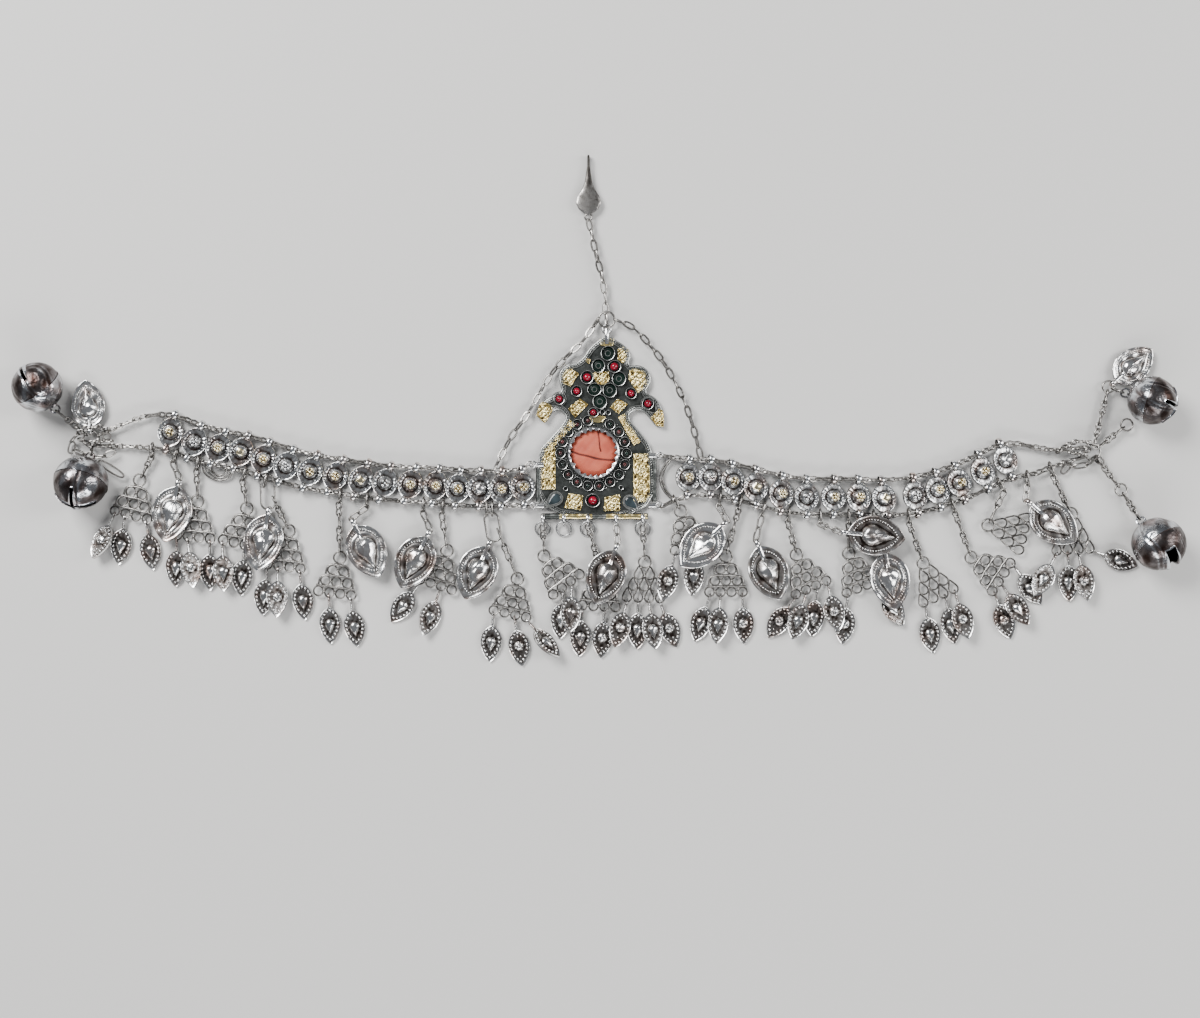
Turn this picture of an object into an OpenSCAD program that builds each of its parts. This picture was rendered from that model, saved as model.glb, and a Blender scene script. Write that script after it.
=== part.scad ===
// Bridal headdress of silver, lying flat: a crest with a coral stone, a band of
// plaques between two chains, ladders of wire rings with leaf drops, bells at the ends.
// X runs along the band, Y towards the hair hook, Z up; the crest's back is at Z = 0.

/* [Wire and sheet] */
// Wire of the links, rings and bails
wire_d = 0.7; // [0.6:0.05:0.7]
// Sheet of the plaques and leaves
sheet_t = 0.6; // [0.5:0.05:0.65]
// Free play between two wires that hook into each other
play = 0.25; // [0.2:0.05:0.25]

/* [Chains] */
// Outer width of the band chains
chain_d = 2.2; // [2:0.1:2.3]
// Height of the chains' middle above the surface
chain_z = 2.35; // [2.3:0.05:2.5]
// Radius of a bail or ring that runs round a chain
bail_r = 1.9; // [1.85:0.05:1.9]
// Reach of the long rings that the drops hang from
ring_reach = 3.4; // [3:0.1:3.6]
// Outer width of an oval link
link_w = 2.8; // [2.6:0.1:3]
// Thickness of a link, flattened by hammering
link_t = 0.45; // [0.4:0.05:0.5]

/* [Band plaques] */
// Width of a plaque
plaque_w = 9.2; // [8.8:0.1:9.4]
// Distance from a plaque's middle to each of its bails
plaque_reach = 6.3; // [6.2:0.1:6.5]
// Height of the dome above the sheet
dome_h = 2.8; // [2.2:0.1:3.2]
// Slope that lets each plaque lie on its neighbour
shingle = 9; // [7:1:10]

/* [Ladders] */
// Outer radius of the small rings in a ladder
net_r = 2; // [1.9:0.05:2.05]
// Distance between the bars of a ladder
bar_step = 4; // [3.9:0.05:4]
// Outer radius of the top ring
top_ring_r = 2.5; // [2.4:0.1:2.6]
// Height of the ladders' middle above the surface
ladder_z = 1.75; // [1.7:0.05:1.9]

/* [Leaves] */
// Width of a big leaf
leaf_w = 14; // [13:0.5:14.5]
// Length of a big leaf
leaf_l = 20.5; // [19:0.5:21]
// Width of a small leaf
drop_w = 7.4; // [7:0.1:7.8]
// Length of a small leaf
drop_l = 13.2; // [12:0.2:13.6]
// Length of the wrapped stem above a small leaf
stem_l = 3.4; // [3:0.1:3.6]

/* [Bells] */
// Wall of the bells
bell_wall = 0.7; // [0.6:0.05:0.8]
// Width of the slits in the bells
slit_w = 1.2; // [1:0.1:1.5]

/* [Crest] */
// Thickness of the crest's back plate
plate_t = 1.4; // [1.2:0.1:1.6]
// Height of the rope wire on the plate
rope_h = 0.8; // [0.6:0.1:0.9]
// Outer radius of the bezel
bezel_r = 9; // [8.8:0.1:9.2]
// Height of the bezel above the plate
bezel_h = 3.2; // [3:0.1:3.6]
// Number of teeth cut in the bezel's lip
teeth = 24; // [20:1:28]

/* [Hidden] */
$fn = 24;
wire = wire_d / 2;
hold = wire_d + play;
drop_bail_r = 1.1;
leaf_bail_r = 1.5;
loop_r = 1.5;
net_wire = 0.8;
top_ring_mid = top_ring_r - net_wire / 2;
// Free play of a link or chain ring on the square wire of a ladder
ring_play = 0.2;

// Plaques from left to right: x, y, lean of the top bail to the right
plaques_left_at = [
  [-150, 7.5, 15], [-141.5, 4, 24], [-133, 2, 26], [-125, 0.5, 24],
  [-117, -2, 20], [-109, -4.5, 24], [-100.5, -6.5, 24], [-91.5, -8, 26],
  [-82.5, -9.5, 24], [-74, -10.5, 20], [-65, -11, 20], [-56, -11.5, 12],
  [-48.2, -12.5, 10], [-40.4, -12.5, 4], [-32.7, -12.7, 2], [-25, -12, -3]
];
plaques_right_at = [
  [33.5, -8.5, 4], [41.5, -8.5, 2], [49.5, -10, -4], [57.5, -12, 0],
  [66.5, -14.3, 4], [75.5, -15.5, 0], [85, -15.5, 2], [94, -15.5, -2],
  [103, -16, -10], [114, -15, -8], [122, -13, -8], [129.7, -10.5, -16],
  [138, -6.5, -16], [146, -2.5, -20]
];

// Bail of a plaque: side is 1 at the top and -1 at the bottom
function bail_at(p, side) =
  [p.x, p.y, chain_z] + side * plaque_reach * [sin(p[2]), cos(p[2]), 0];
function flat(points) = [for (p = points) [p.x, p.y, chain_z]];

// Routes of the chains, through the bails of the plaques
upper_left_route = concat(
  flat([[-174.6, 6.8], [-165, 11], [-157, 13.8]]),
  [for (p = plaques_left_at) bail_at(p, 1)],
  flat([[-23.1, -4.2]])
);
lower_left_route = concat(
  flat([[-174.8, 2.6], [-166, 2.5], [-158.5, 2]]),
  [for (p = plaques_left_at) bail_at(p, -1)],
  flat([[-23.1, -18.7]])
);
upper_right_route = concat(
  flat([[25.1, -1]]),
  [for (p = plaques_right_at) bail_at(p, 1)],
  flat([[151, 3.5], [158, 1.5], [165, 1], [173, 2]])
);
lower_right_route = concat(
  flat([[25.1, -18.5]]),
  [for (p = plaques_right_at) bail_at(p, -1)],
  flat([[155, -8], [162, -5], [168, -3.2], [173.4, -1.4]])
);
crest_left_route = flat([
  [1.6, 47.4], [-3.5, 39.5], [-10.5, 33.5], [-16, 27], [-20, 19.5],
  [-24.5, 12], [-29, 6.5], [-34.5, -4.4]
]);
crest_right_route = flat([
  [8, 47.2], [14, 45], [19, 39.5], [24, 33.5], [28, 27], [31.5, 20],
  [34.5, 12.5], [37.85, -0.72]
]);
hook_route = flat([[4.6, 46], [4.2, 55], [3.3, 62], [1.2, 69], [-0.3, 76], [-1.6, 81.8]]);

// Where the drops hang: place along the lower chains, counted in route points
LEFT = 0;
RIGHT = 1;
CREST = 2;
// Loops under the crest's edge, by their x
crest_loops = [-18, -10.5, -2, 8, 17.5];
crest_loop_y = -24.3;

// Ladders: x and y of the top ring, turn, dip, roll, lift, loops instead of rings,
// where it hangs, place there, number of links
ladders_at = [
  [-161, -9.5, -14, 0, 0, 0, 0, LEFT, 2.3, 2],
  [-140.5, -17, -6, 0, 0, 0, 0, LEFT, 4.5, 2],
  [-123, -19.5, -12, 0, 0, 0, 0, LEFT, 6.5, 2],
  [-108, -27.5, -8, 0, 0, 0, 0, LEFT, 7.66, 4],
  [-90, -37, -8, 0, 0, 0, 0, LEFT, 10.5, 4],
  [-52, -34.5, -18, 0, 0, 0, 0, LEFT, 14.5, 2],
  [-27, -44.5, -12, 0, 0, 0, 0, LEFT, 16.63, 4],
  [-17.5, -36.5, 38, 0, 0, 0, 0, CREST, 0, 2],
  [2.6, -41.5, -3, 0, 0, 0, 0, CREST, 2, 4],
  [18.2, -38.5, -2, 0, 0, 0, 1, CREST, 4, 2],
  [30, -26, 16, 0, 8, 0, 0, RIGHT, 0.5, 0],
  [47, -36.5, 0, 0, 0, 0, 0, RIGHT, 3.3, 4],
  [72, -36, 24, 0, 0, 0, 0, RIGHT, 5.35, 4],
  [90.5, -35.5, 22, 0, 0, 0, 0, RIGHT, 7.6, 2],
  [117, -39, 25, 0, 0, 0, 1, RIGHT, 9.7, 4],
  [134, -37, 57, 0, 0, 0, 0, RIGHT, 11.5, 4],
  [140, -25.5, 76, 0, 0, 0, 1, RIGHT, 13.5, 2],
  [169.5, -21.5, 3, 0, 0, 0, 1, RIGHT, 16, 4]
];

// Big leaves: x and y of the bail, turn, dip, roll, lift, where it hangs,
// place there, number of links
leaves_at = [
  [-147, -10.5, -12, 4, 0, 2.7, LEFT, 3.5, 1],
  [-115, -20.5, -10, 4, 0, 2.9, LEFT, 7.42, 1],
  [-85, -24.5, 26, 4, 0, 2.9, LEFT, 11.55, 1],
  [-58.5, -28.5, -26, 4, 0, 2.9, LEFT, 13.7, 1],
  [-37, -32, -23, 4, 0, 2.4, LEFT, 16.38, 1],
  [8, -33.3, -20, 4, 0, 4, CREST, 3, 1],
  [46.1, -25, -46, 4, 0, 4, RIGHT, 2.42, 1],
  [58, -32, 22, 4, 0, 2.4, RIGHT, 4.35, 1],
  [88.5, -28, 84, 3, 0, 4.85, RIGHT, 6.52, 3],
  [103, -34.2, 10, 4, 0, 3.1, RIGHT, 8.5, 1],
  [154, -17.5, 50, 4, 0, 3.3, RIGHT, 14.8, 1]
];

function numbered(stem, count) = [for (i = [1 : count]) str(stem, i)];

// A round ring of wire lying flat
module ring(r, w = wire) {
  rotate_extrude() translate([r, 0]) circle(w);
}

// The same ring standing on edge along Y
module standing_ring(r, w = wire) {
  rotate([0, 90, 0]) ring(r, w);
}

// Outline with straight sides and round ends, its length along X
module round_ended(half_l, half_w) {
  straight = half_l - half_w;
  for (x = [-straight, straight])
    translate([x, 0]) circle(half_w);
  if (straight > 0) square([2 * straight, 2 * half_w], center = true);
}

// An oval link lying flat along X: half_l and half_w run to the middle of the wire
module link(half_l, half_w) {
  linear_extrude(link_t, center = true) difference() {
    round_ended(half_l + wire, half_w + wire);
    round_ended(half_l - wire, half_w - wire);
  }
}

// Turns X to point from a to b, with the origin at a
module along(a, b) {
  v = b - a;
  translate(a) rotate([0, -atan2(v.z, norm([v.x, v.y])), atan2(v.y, v.x)]) children();
}

// A run of oval links from the wire at a to the wire at b, each a quarter turn on
module run(a, b, count, first_roll) {
  pitch = (norm(b - a) + hold) / count;
  half_l = (pitch + hold) / 2;
  along(a, b)
    for (i = [0 : count - 1])
      translate([i * pitch + half_l - hold, 0, 0]) rotate([first_roll + 90 * i, 0, 0])
        link(max(half_l, link_w / 2 - wire), link_w / 2 - wire);
}

// Point on a route, counted in route points, and the way down from the chain there
function on_route(route, s) =
  let (i = min(floor(s), len(route) - 2)) route[i] + (s - i) * (route[i + 1] - route[i]);
function down_from(route, s) =
  let (i = min(floor(s), len(route) - 2), v = route[i + 1] - route[i])
    [v.y, -v.x, 0] / norm([v.x, v.y]);

// A long ring that stands round a chain and reaches down
module chain_ring(route, s) {
  p = on_route(route, s);
  along(p, p + down_from(route, s))
    translate([(ring_reach - bail_r) / 2, 0, 0]) rotate([90, 0, 0])
      link((ring_reach + bail_r) / 2, bail_r);
}

// A chain as one tube of eight sides through the points of its route
function unit(v) = v / norm(v);
function heading(route, i) =
  unit(route[min(i + 1, len(route) - 1)] - route[max(i - 1, 0)]);
module chain_tube(route) {
  sides = 8;
  last = len(route) - 1;
  points = [
    for (i = [0 : last])
      let (t = heading(route, i), side = unit(cross([0, 0, 1], t)), up = cross(t, side))
        for (k = [0 : sides - 1])
          route[i] + chain_d / 2 * (cos(360 * k / sides) * side + sin(360 * k / sides) * up)
  ];
  walls = [
    for (i = [0 : last - 1], k = [0 : sides - 1])
      let (a = i * sides + k, b = i * sides + (k + 1) % sides)
        [a, a + sides, b + sides, b]
  ];
  near_end = [for (k = [0 : sides - 1]) k];
  far_end = [for (k = [sides - 1 : -1 : 0]) last * sides + k];
  polyhedron(points = points, faces = concat([near_end], [far_end], walls), convexity = 6);
}

// Pointed oval where two arcs cross, its length along Y
module pointed_oval(w, l) {
  r = (l * l + w * w) / (4 * w);
  intersection() {
    translate([r - w / 2, 0]) circle(r);
    translate([w / 2 - r, 0]) circle(r);
  }
}

// Half outline of a drop that is round below and pointed above
module drop_half(r, tip) {
  a = asin(r / tip);
  intersection() {
    union() {
      circle(r);
      polygon([[0, 0], [r * cos(a), r * sin(a)], [0, tip]]);
    }
    translate([0, -r]) square([r, r + tip]);
  }
}

// Part of a drop-shaped body above the sheet, with its point along Y
module boss(r, tip, sink) {
  intersection() {
    translate([0, 0, -sink]) rotate([-90, 0, 0]) rotate_extrude() drop_half(r, tip);
    translate([-r, -r, 0]) cube([2 * r, r + tip, r]);
  }
}

module plaque() {
  dome_r = 3;
  ball_r = (dome_r * dome_r + dome_h * dome_h) / (2 * dome_h);
  sheet_l = 2 * (plaque_reach - chain_d / 2 - play);
  color("silver") {
    difference() {
      union() {
        translate([0, 0, -sheet_t]) linear_extrude(sheet_t) pointed_oval(plaque_w, sheet_l);
        rotate_extrude() {
          intersection() {
            translate([0, dome_h - ball_r]) circle(ball_r);
            square([dome_r, dome_h]);
          }
          translate([0, dome_h - 0.2]) square([1.5, 0.7]);
        }
      }
      translate([0, 0, dome_h - ball_r]) sphere(ball_r - sheet_t);
    }
    for (y = [-plaque_reach, plaque_reach])
      translate([0, y, 0]) standing_ring(bail_r);
  }
}

module plaques(list) {
  for (p = list)
    translate([p.x, p.y, chain_z]) rotate([0, shingle, -p[2]]) plaque();
}

// Flat pattern of a ladder: a top ring over bars with rows of two, three and four rings
function row_y(k) = -(top_ring_r + 0.2 + bar_step * (k + 0.5));
function row_x(k, i) = (i - (k + 1) / 2) * (2 * net_r - 0.1);
rows = [0, 1, 2];
last_row = len(rows) - 1;
// Past this angle a leaf's bail slips along its ring
most_swing = 18;

module ring_net() {
  difference() {
    union() {
      circle(top_ring_r);
      for (k = rows) {
        bar_w = (k + 2) * 2 * net_r - 1.6;
        translate([-bar_w / 2, row_y(k) + bar_step / 2 - 0.35]) square([bar_w, 0.7]);
        for (i = [0 : k + 1]) translate([row_x(k, i), row_y(k)]) circle(net_r);
      }
    }
    circle(top_ring_r - net_wire);
    for (k = rows, i = [0 : k + 1])
      translate([row_x(k, i), row_y(k)]) circle(net_r - net_wire);
  }
}

// The same pattern of pointed loops without bars
module loop_shape(r, tip) {
  circle(r);
  polygon([[-0.85 * r, 0.5 * r], [0.85 * r, 0.5 * r], [0, tip]]);
}
module loop_net() {
  difference() {
    union() {
      circle(top_ring_r);
      for (k = rows, i = [0 : k + 1])
        translate([row_x(k, i), row_y(k)]) loop_shape(net_r, bar_step - 0.2);
    }
    circle(top_ring_r - net_wire);
    for (k = rows, i = [0 : k + 1])
      translate([row_x(k, i), row_y(k)]) loop_shape(net_r - net_wire, bar_step / 2);
  }
}

function route_of(where) = where == LEFT ? lower_left_route : lower_right_route;

// Wire of the crest's loop or of a chain's long ring, where the drop's links begin
function hang_point(where, s) =
  where == CREST
    ? [crest_loops[s], crest_loop_y - loop_r, chain_z]
    : on_route(route_of(where), s) + ring_reach * down_from(route_of(where), s);

// Middle of a ladder's top ring: hooked straight in where it has no links
function ladder_place(l) =
  l[9] == 0
    ? hang_point(l[7], l[8])
      + (top_ring_mid - hold - ring_play) * down_from(route_of(l[7]), l[8])
    : [l.x, l.y, ladder_z + l[5]];

module at_ladder(l) {
  translate(ladder_place(l)) rotate([0, 0, l[2]]) rotate([-l[3], l[4], 0]) children();
}

module ladder(l) {
  color("gainsboro") at_ladder(l)
    translate([0, 0, -net_wire / 2]) linear_extrude(net_wire) {
      if (l[6] == 1) loop_net();
      else ring_net();
    }
}

// Leaf with its bail at the origin, hanging along -Y
module big_leaf_shape() {
  boss_r = 0.26 * leaf_w;
  boss_tip = 0.42 * leaf_l;
  middle = -(leaf_bail_r - 0.4 + leaf_l / 2);
  boss_y = middle + 1.6;
  difference() {
    union() {
      translate([0, middle, -sheet_t]) linear_extrude(sheet_t) pointed_oval(leaf_w, leaf_l);
      translate([0, boss_y, -0.1]) rotate([0, 0, 180]) boss(boss_r, boss_tip, 1.2);
    }
    translate([0, boss_y, -sheet_t - 0.1]) rotate([0, 0, 180])
      boss(boss_r - sheet_t / 2, boss_tip - sheet_t, 1.2);
  }
  standing_ring(leaf_bail_r);
}

module at_leaf(l) {
  translate([l.x, l.y, l[5]]) rotate([0, 0, l[2]]) rotate([-l[3], 0, 0]) children();
}

module big_leaf(l) {
  color("silver") at_leaf(l) rotate([0, l[4], 0]) big_leaf_shape();
}

// Small leaves: ladder, foot ring it hangs from, heading, dip, roll
small_left_at = [
  [0, 0, -24, 8, -25], [0, 1, -8, -4, 0], [0, 3, 8, -4, 0],
  [1, 0, -2, -4, 0], [1, 1, 9, 8, 0], [1, 3, 0, -4, 0],
  [2, 0, 4, 8, 0], [2, 2, -4, -4, 0],
  [3, 0, -6, -4, 0], [3, 1, 0, 8, 0], [3, 3, 6, -4, 0],
  [4, 1, 2, -4, 0], [4, 3, 8, -4, 0]
];
small_middle_at = [
  [5, 0, -36, -4, 0], [5, 2, -20, 4, 20],
  [6, 0, -4, -4, 0], [6, 2, 9, -4, 0], [6, 3, 42, 10, 50],
  [7, 1, -4, -4, 0], [7, 2, -2, 8, 0],
  [8, 0, -4, -4, 0], [8, 2, -4, -4, 0],
  [9, 0, -15, 8, 0], [9, 1, -1, -4, 0], [9, 2, 8, 8, 0], [9, 3, 20, -4, 0],
  [10, 0, -16, -4, 0], [10, 2, -6, -4, 0]
];
small_right_at = [
  [11, 0, -18, -4, 0], [11, 1, -6, 8, 0], [11, 3, 2, -4, 0],
  [12, 0, -34, -4, 0], [12, 1, -18, 8, 0], [12, 2, -6, -4, 0], [12, 3, 12, 8, 0],
  [13, 0, -6, -4, 0], [13, 3, 30, 0, 10],
  [14, 0, 10, -4, 0], [14, 2, 12, -4, 0], [14, 3, 14, 8, 0],
  [15, 0, 20, -4, 0], [15, 1, 32, 8, 0], [15, 3, 36, -4, 0],
  [17, 0, -30, 8, 0], [17, 1, 2, -4, 0], [17, 2, 8, 8, 0], [17, 3, 72, -4, 0]
];

// A small leaf with its bail at the origin: the wrapped stem, the sheet and its boss
module small_leaf(roll) {
  thin = 0.5;
  stem_top = drop_bail_r - wire / 2;
  middle = -(stem_top + stem_l + drop_l / 2 - 0.4);
  cap_r = 2.3;
  cap_h = 1.2;
  ball_r = (cap_r * cap_r + cap_h * cap_h) / (2 * cap_h);
  standing_ring(drop_bail_r, 0.3);
  translate([0, -stem_top - stem_l, 0]) rotate([-90, 0, 0]) cylinder(h = stem_l, r = 0.55);
  rotate([0, roll, 0]) translate([0, middle, 0]) {
    translate([0, 0, -thin / 2]) linear_extrude(thin) pointed_oval(drop_w, drop_l);
    rotate_extrude() intersection() {
      translate([0, cap_h - ball_r]) circle(ball_r);
      square([cap_r, cap_h]);
    }
  }
}

module small_leaves(list) {
  color("silver")
    for (s = list) {
      l = ladders_at[s[0]];
      swing = s[2] - l[2];
      slip = sign(swing) * max(abs(swing) - most_swing, 0);
      at_ladder(l) translate([row_x(last_row, s[1]), row_y(last_row), 0]) rotate([0, 0, slip])
        translate([0, net_wire / 2 - net_r, 0]) rotate([-s[3], 0, swing - slip]) small_leaf(s[4]);
    }
}

// Ends of the band: each gathering ring takes both chains, a leaf and the bells
gather_r = 2.8;
gather_left = [-178, 5, chain_z];
gather_right = [176.8, 0.3, chain_z];
end_ring_r = 2.1;
ring_a = [182.5, 23.5, chain_z];
ring_b = [189, 10, chain_z];
ring_c = [187, -13, chain_z];

// Bells: x, y, radius, way the loop points, slit width, crossed slits
bells_at = [
  [-195, 23, 8.7, -57, slit_w, 0],
  [-179.5, -10.5, 9.4, 80, slit_w, 1],
  [196, 18.3, 8.5, 160, slit_w, 1],
  [198, -32, 9.3, 120, 3 * slit_w, 0]
];
bell_dip = 28;
bell_loop = 1.2;
function bell_middle(b) = [b.x, b.y, b[2]];
function bell_axis(b) =
  [cos(b[3]) * cos(bell_dip), sin(b[3]) * cos(bell_dip), -sin(bell_dip)];
function bell_hook(b) = bell_middle(b) + (b[2] + bell_loop + loop_r) * bell_axis(b);

module bell(b) {
  r = b[2];
  color("dimgray")
    translate(bell_middle(b)) rotate([0, 90 + bell_dip, b[3]]) {
      difference() {
        union() {
          sphere(r);
          translate([0, 0, -0.4]) cylinder(h = 0.8, r = r + 0.3);
        }
        sphere(r - bell_wall);
        for (turn = b[5] == 1 ? [0, 90] : [0])
          rotate([0, 0, turn]) translate([0, 0, -r]) cube([1.5 * r, b[4], 1.1 * r], center = true);
      }
      translate([0, 0, r + bell_loop]) standing_ring(loop_r);
    }
}

function way(a, b) = unit([b.x - a.x, b.y - a.y, 0]);
// Run of links between two flat rings, or from a flat ring to a bell's loop
module ring_to_ring(a, ra, b, rb, count) {
  run(a + ra * way(a, b), b - rb * way(a, b), count, 90);
}
module ring_to_point(a, ra, b, count) {
  run(a + ra * way(a, b), b, count, 90);
}

function leaf_up(turn) = [-sin(turn), cos(turn), 0];
module drop_links(where) {
  for (l = ladders_at)
    if (l[7] == where) {
      if (where != CREST) chain_ring(route_of(where), l[8]);
      a = hang_point(where, l[8]);
      ring_middle = ladder_place(l);
      if (l[9] > 0) run(a, ring_middle + (top_ring_mid - ring_play) * way(ring_middle, a), l[9], 0);
    }
  for (l = leaves_at)
    if (l[6] == where) {
      if (where != CREST) chain_ring(route_of(where), l[7]);
      if (l[8] > 0)
        run(hang_point(where, l[7]), [l.x, l.y, l[5]] + leaf_bail_r * leaf_up(l[2]), l[8], 0);
    }
}

module links_left() {
  color("silver") {
    drop_links(LEFT);
    drop_links(CREST);
    translate(gather_left) ring(gather_r);
    ring_to_point(gather_left, gather_r, bell_hook(bells_at[0]), 3);
    ring_to_point(gather_left, gather_r, bell_hook(bells_at[1]), 1);
  }
}

module links_right() {
  color("silver") {
    drop_links(RIGHT);
    translate(gather_right) ring(gather_r);
    for (p = [ring_a, ring_b, ring_c]) translate(p) ring(end_ring_r);
    ring_to_ring(gather_right, gather_r, ring_a, end_ring_r, 5);
    ring_to_ring(gather_right, gather_r, ring_b, end_ring_r, 3);
    ring_to_ring(gather_right, gather_r, ring_c, end_ring_r, 3);
    ring_to_point(ring_a, end_ring_r, bell_hook(bells_at[2]), 1);
    ring_to_point(ring_c, end_ring_r, bell_hook(bells_at[3]), 3);
  }
}

// Leaf at an end of the band, hooked straight into a flat ring
module end_leaf(ring_middle, r, turn, size) {
  color("silver")
    translate(ring_middle - r * leaf_up(turn)) rotate([0, 0, turn]) scale(size) big_leaf_shape();
}

module hair_hook() {
  eye_y = 83.6;
  blade_y = 88.6;
  blade_r = 4.6;
  rod = 0.45;
  bend_r = 0.9;
  top_z = 2.3;
  tip_y = 104.6;
  color("silver") translate([-1.8, 0, 0]) {
    translate([0, 0, top_z - 0.4]) linear_extrude(0.8) {
      translate([0, blade_y]) circle(blade_r);
      polygon([[-3.8, 91], [3.8, 91], [1.3, 96], [0.5, 101], [-0.5, 101], [-1.3, 96]]);
    }
    translate([0, 99, top_z]) rotate([-90, 0, 0]) cylinder(h = tip_y - 99, r = rod);
    translate([0, tip_y, top_z - bend_r]) rotate([0, 90, 0]) rotate_extrude(angle = 180)
      translate([bend_r, 0]) circle(rod);
    translate([0, 98.5, top_z - 2 * bend_r]) rotate([-90, 0, 0])
      cylinder(h = tip_y - 98.5, r = rod);
    translate([0, eye_y, top_z]) ring(loop_r - 0.3);
  }
}

// Crest outline, left foot first and round over the top
crest_outline = [
  [-20, -23], [-20, 0.5], [-16, 4.5], [-12, 9], [-9.5, 12.5], [-11.5, 15.5],
  [-14.5, 15], [-17, 10.5], [-20.5, 13.5], [-19, 17.5], [-14.5, 20.5], [-11, 22],
  [-12, 24], [-12.5, 28], [-10, 31.5], [-6, 32], [-3.5, 34], [-1, 38], [2.5, 40.5],
  [4.5, 42], [7.5, 40.5], [11.5, 38], [13.5, 34.5], [12, 31], [16.5, 31.5], [20, 29],
  [20.5, 24.5], [18, 21.5], [22, 20], [24.5, 16], [25, 9], [22, 9.5], [20, 12.5],
  [17, 15.5], [14, 15], [12, 12.5], [16.5, 7.5], [21.5, 1], [22, -23]
];
// Collets: x, y, radius, red stone inside
collets = [
  [5, 36, 2.6, 0], [1.5, 30.5, 2.6, 0], [7.5, 30.5, 2.5, 1], [-2.5, 27, 2.5, 1],
  [9, 26, 2.6, 0], [0.5, 22.5, 2.6, 0], [5.5, 22.5, 2.6, 0], [2.5, 18, 2.6, 0],
  [-6, 22, 2.1, 1], [13, 21, 2, 1], [-0.8, 14.7, 1.9, 1], [-12.5, 18.3, 2.2, 1],
  [19.5, 17.5, 2.4, 1], [-0.5, -17, 2.8, 1]
];
collet_h = 1.5;
collet_wall = 0.45;
// Gilt plates of six sides or round: x, y, radius, sides
gilt_tops = [
  [-8.5, 27.5, 3.6, 6], [16, 26, 4.2, 6], [10.5, 34.8, 2.6, 6], [-17.3, 15, 2.6, 6],
  [22.6, 12.5, 2.2, 6], [3, 26.5, 1.7, 8]
];
// Gilt strips: x, y, width, height, turn
gilt_strips = [
  [5, 39.6, 5, 1.8, 0], [-5.8, 16.8, 5.5, 5.5, 35], [9.5, 16.8, 6, 5, -10],
  [-12.6, 5.8, 12, 2.6, 44], [14, 6.6, 10, 3, -52], [-15.7, -5.7, 5, 14, 0],
  [17.6, -8.5, 5, 16, 0], [-7.3, -17, 6, 5.6, 8], [6.6, -17.3, 5.6, 5, -6]
];
gilt_t = 0.35;
// Pointed cells at the foot: x, y, turn
cells = [[-14, -16.8, 52], [13, -17, -52]];
// Lugs for the four chains: x of the edge, y, side
lugs = [[-20, -4, -1], [-20, -18.6, -1], [22, -0.8, 1], [22, -18.5, 1]];
foot_rod_r = 1.2;
foot_y_mid = -22.4;
foot_z = 1.6;

module outline_border(w) {
  n = len(crest_outline);
  for (i = [0 : n - 1])
    let (a = crest_outline[i], b = crest_outline[(i + 1) % n], v = b - a)
      translate((a + b) / 2) rotate(atan2(v.y, v.x)) square([norm(v) + w, 2 * w], center = true);
}

module tube_wall(r, wall, h) {
  difference() {
    cylinder(h = h, r = r);
    translate([0, 0, -1]) cylinder(h = h + 2, r = r - wall);
  }
}

module bezel() {
  difference() {
    rotate_extrude() polygon([
      [bezel_r, -0.1], [bezel_r, bezel_h - 0.9], [bezel_r - 1.2, bezel_h],
      [bezel_r - 1.5, bezel_h - 0.3], [bezel_r - 0.6, bezel_h - 1.2], [bezel_r - 0.6, -0.1]
    ]);
    for (i = [0 : teeth - 1])
      rotate([0, 0, i * 360 / teeth]) translate([bezel_r - 0.5, 0, bezel_h + 0.1])
        rotate([45, 0, 0]) cube([3, 1.4, 1.4], center = true);
  }
}

module crest() {
  small_ring_at = 11.7;
  small_rings = 18;
  color("dimgray") {
    difference() {
      linear_extrude(plate_t + rope_h) polygon(crest_outline);
      translate([0, 0, plate_t]) linear_extrude(rope_h + 1) difference() {
        polygon(crest_outline);
        outline_border(0.8);
      }
    }
    for (g = gilt_tops)
      translate([g.x, g.y, plate_t - 0.1]) cylinder(h = gilt_t + 0.1, r = g[2], $fn = g[3]);
    for (g = gilt_strips)
      translate([g.x, g.y, plate_t - 0.1]) rotate([0, 0, g[4]]) translate([-g[2] / 2, -g[3] / 2, 0])
        cube([g[2], g[3], gilt_t + 0.1]);
    translate([0, 0, plate_t - 0.1]) {
      for (c = collets) translate([c.x, c.y, 0]) tube_wall(c[2], collet_wall, collet_h);
      for (i = [0 : small_rings - 1])
        rotate([0, 0, i * 360 / small_rings]) translate([small_ring_at, 0, 0])
          tube_wall(1.85, 0.5, 1.1);
      for (c = cells)
        translate([c.x, c.y, 0]) rotate([0, 0, c[2]]) linear_extrude(1.1) difference() {
          pointed_oval(4.6, 8);
          pointed_oval(3.5, 6.2);
        }
    }
    translate([0, 0, plate_t]) bezel();
    translate([-18.5, foot_y_mid, foot_z]) rotate([0, 90, 0]) cylinder(h = 38, r = foot_rod_r);
    for (x = crest_loops) translate([x, crest_loop_y, chain_z]) standing_ring(loop_r);
    for (l = lugs) {
      translate([l.x + l[2] * 0.1, l.y, 1.7]) cube([1.6, 1.8, 2], center = true);
      translate([l.x + l[2] * 1.4, l.y, chain_z]) ring(1);
    }
    translate([4.6, 42, 1.7]) cube([1.8, 1.6, 2], center = true);
    translate([4.6, 43.9, chain_z]) ring(loop_r);
  }
}

module gilt_tubes() {
  for (span = [[-12, 11.5], [4.5, 14.5]])
    color("gold") translate([span[0], foot_y_mid, foot_z]) rotate([0, 90, 0]) rotate([0, 0, 97])
      rotate_extrude(angle = 70) translate([foot_rod_r + 0.15, 0]) square([0.35, span[1]]);
}

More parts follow.
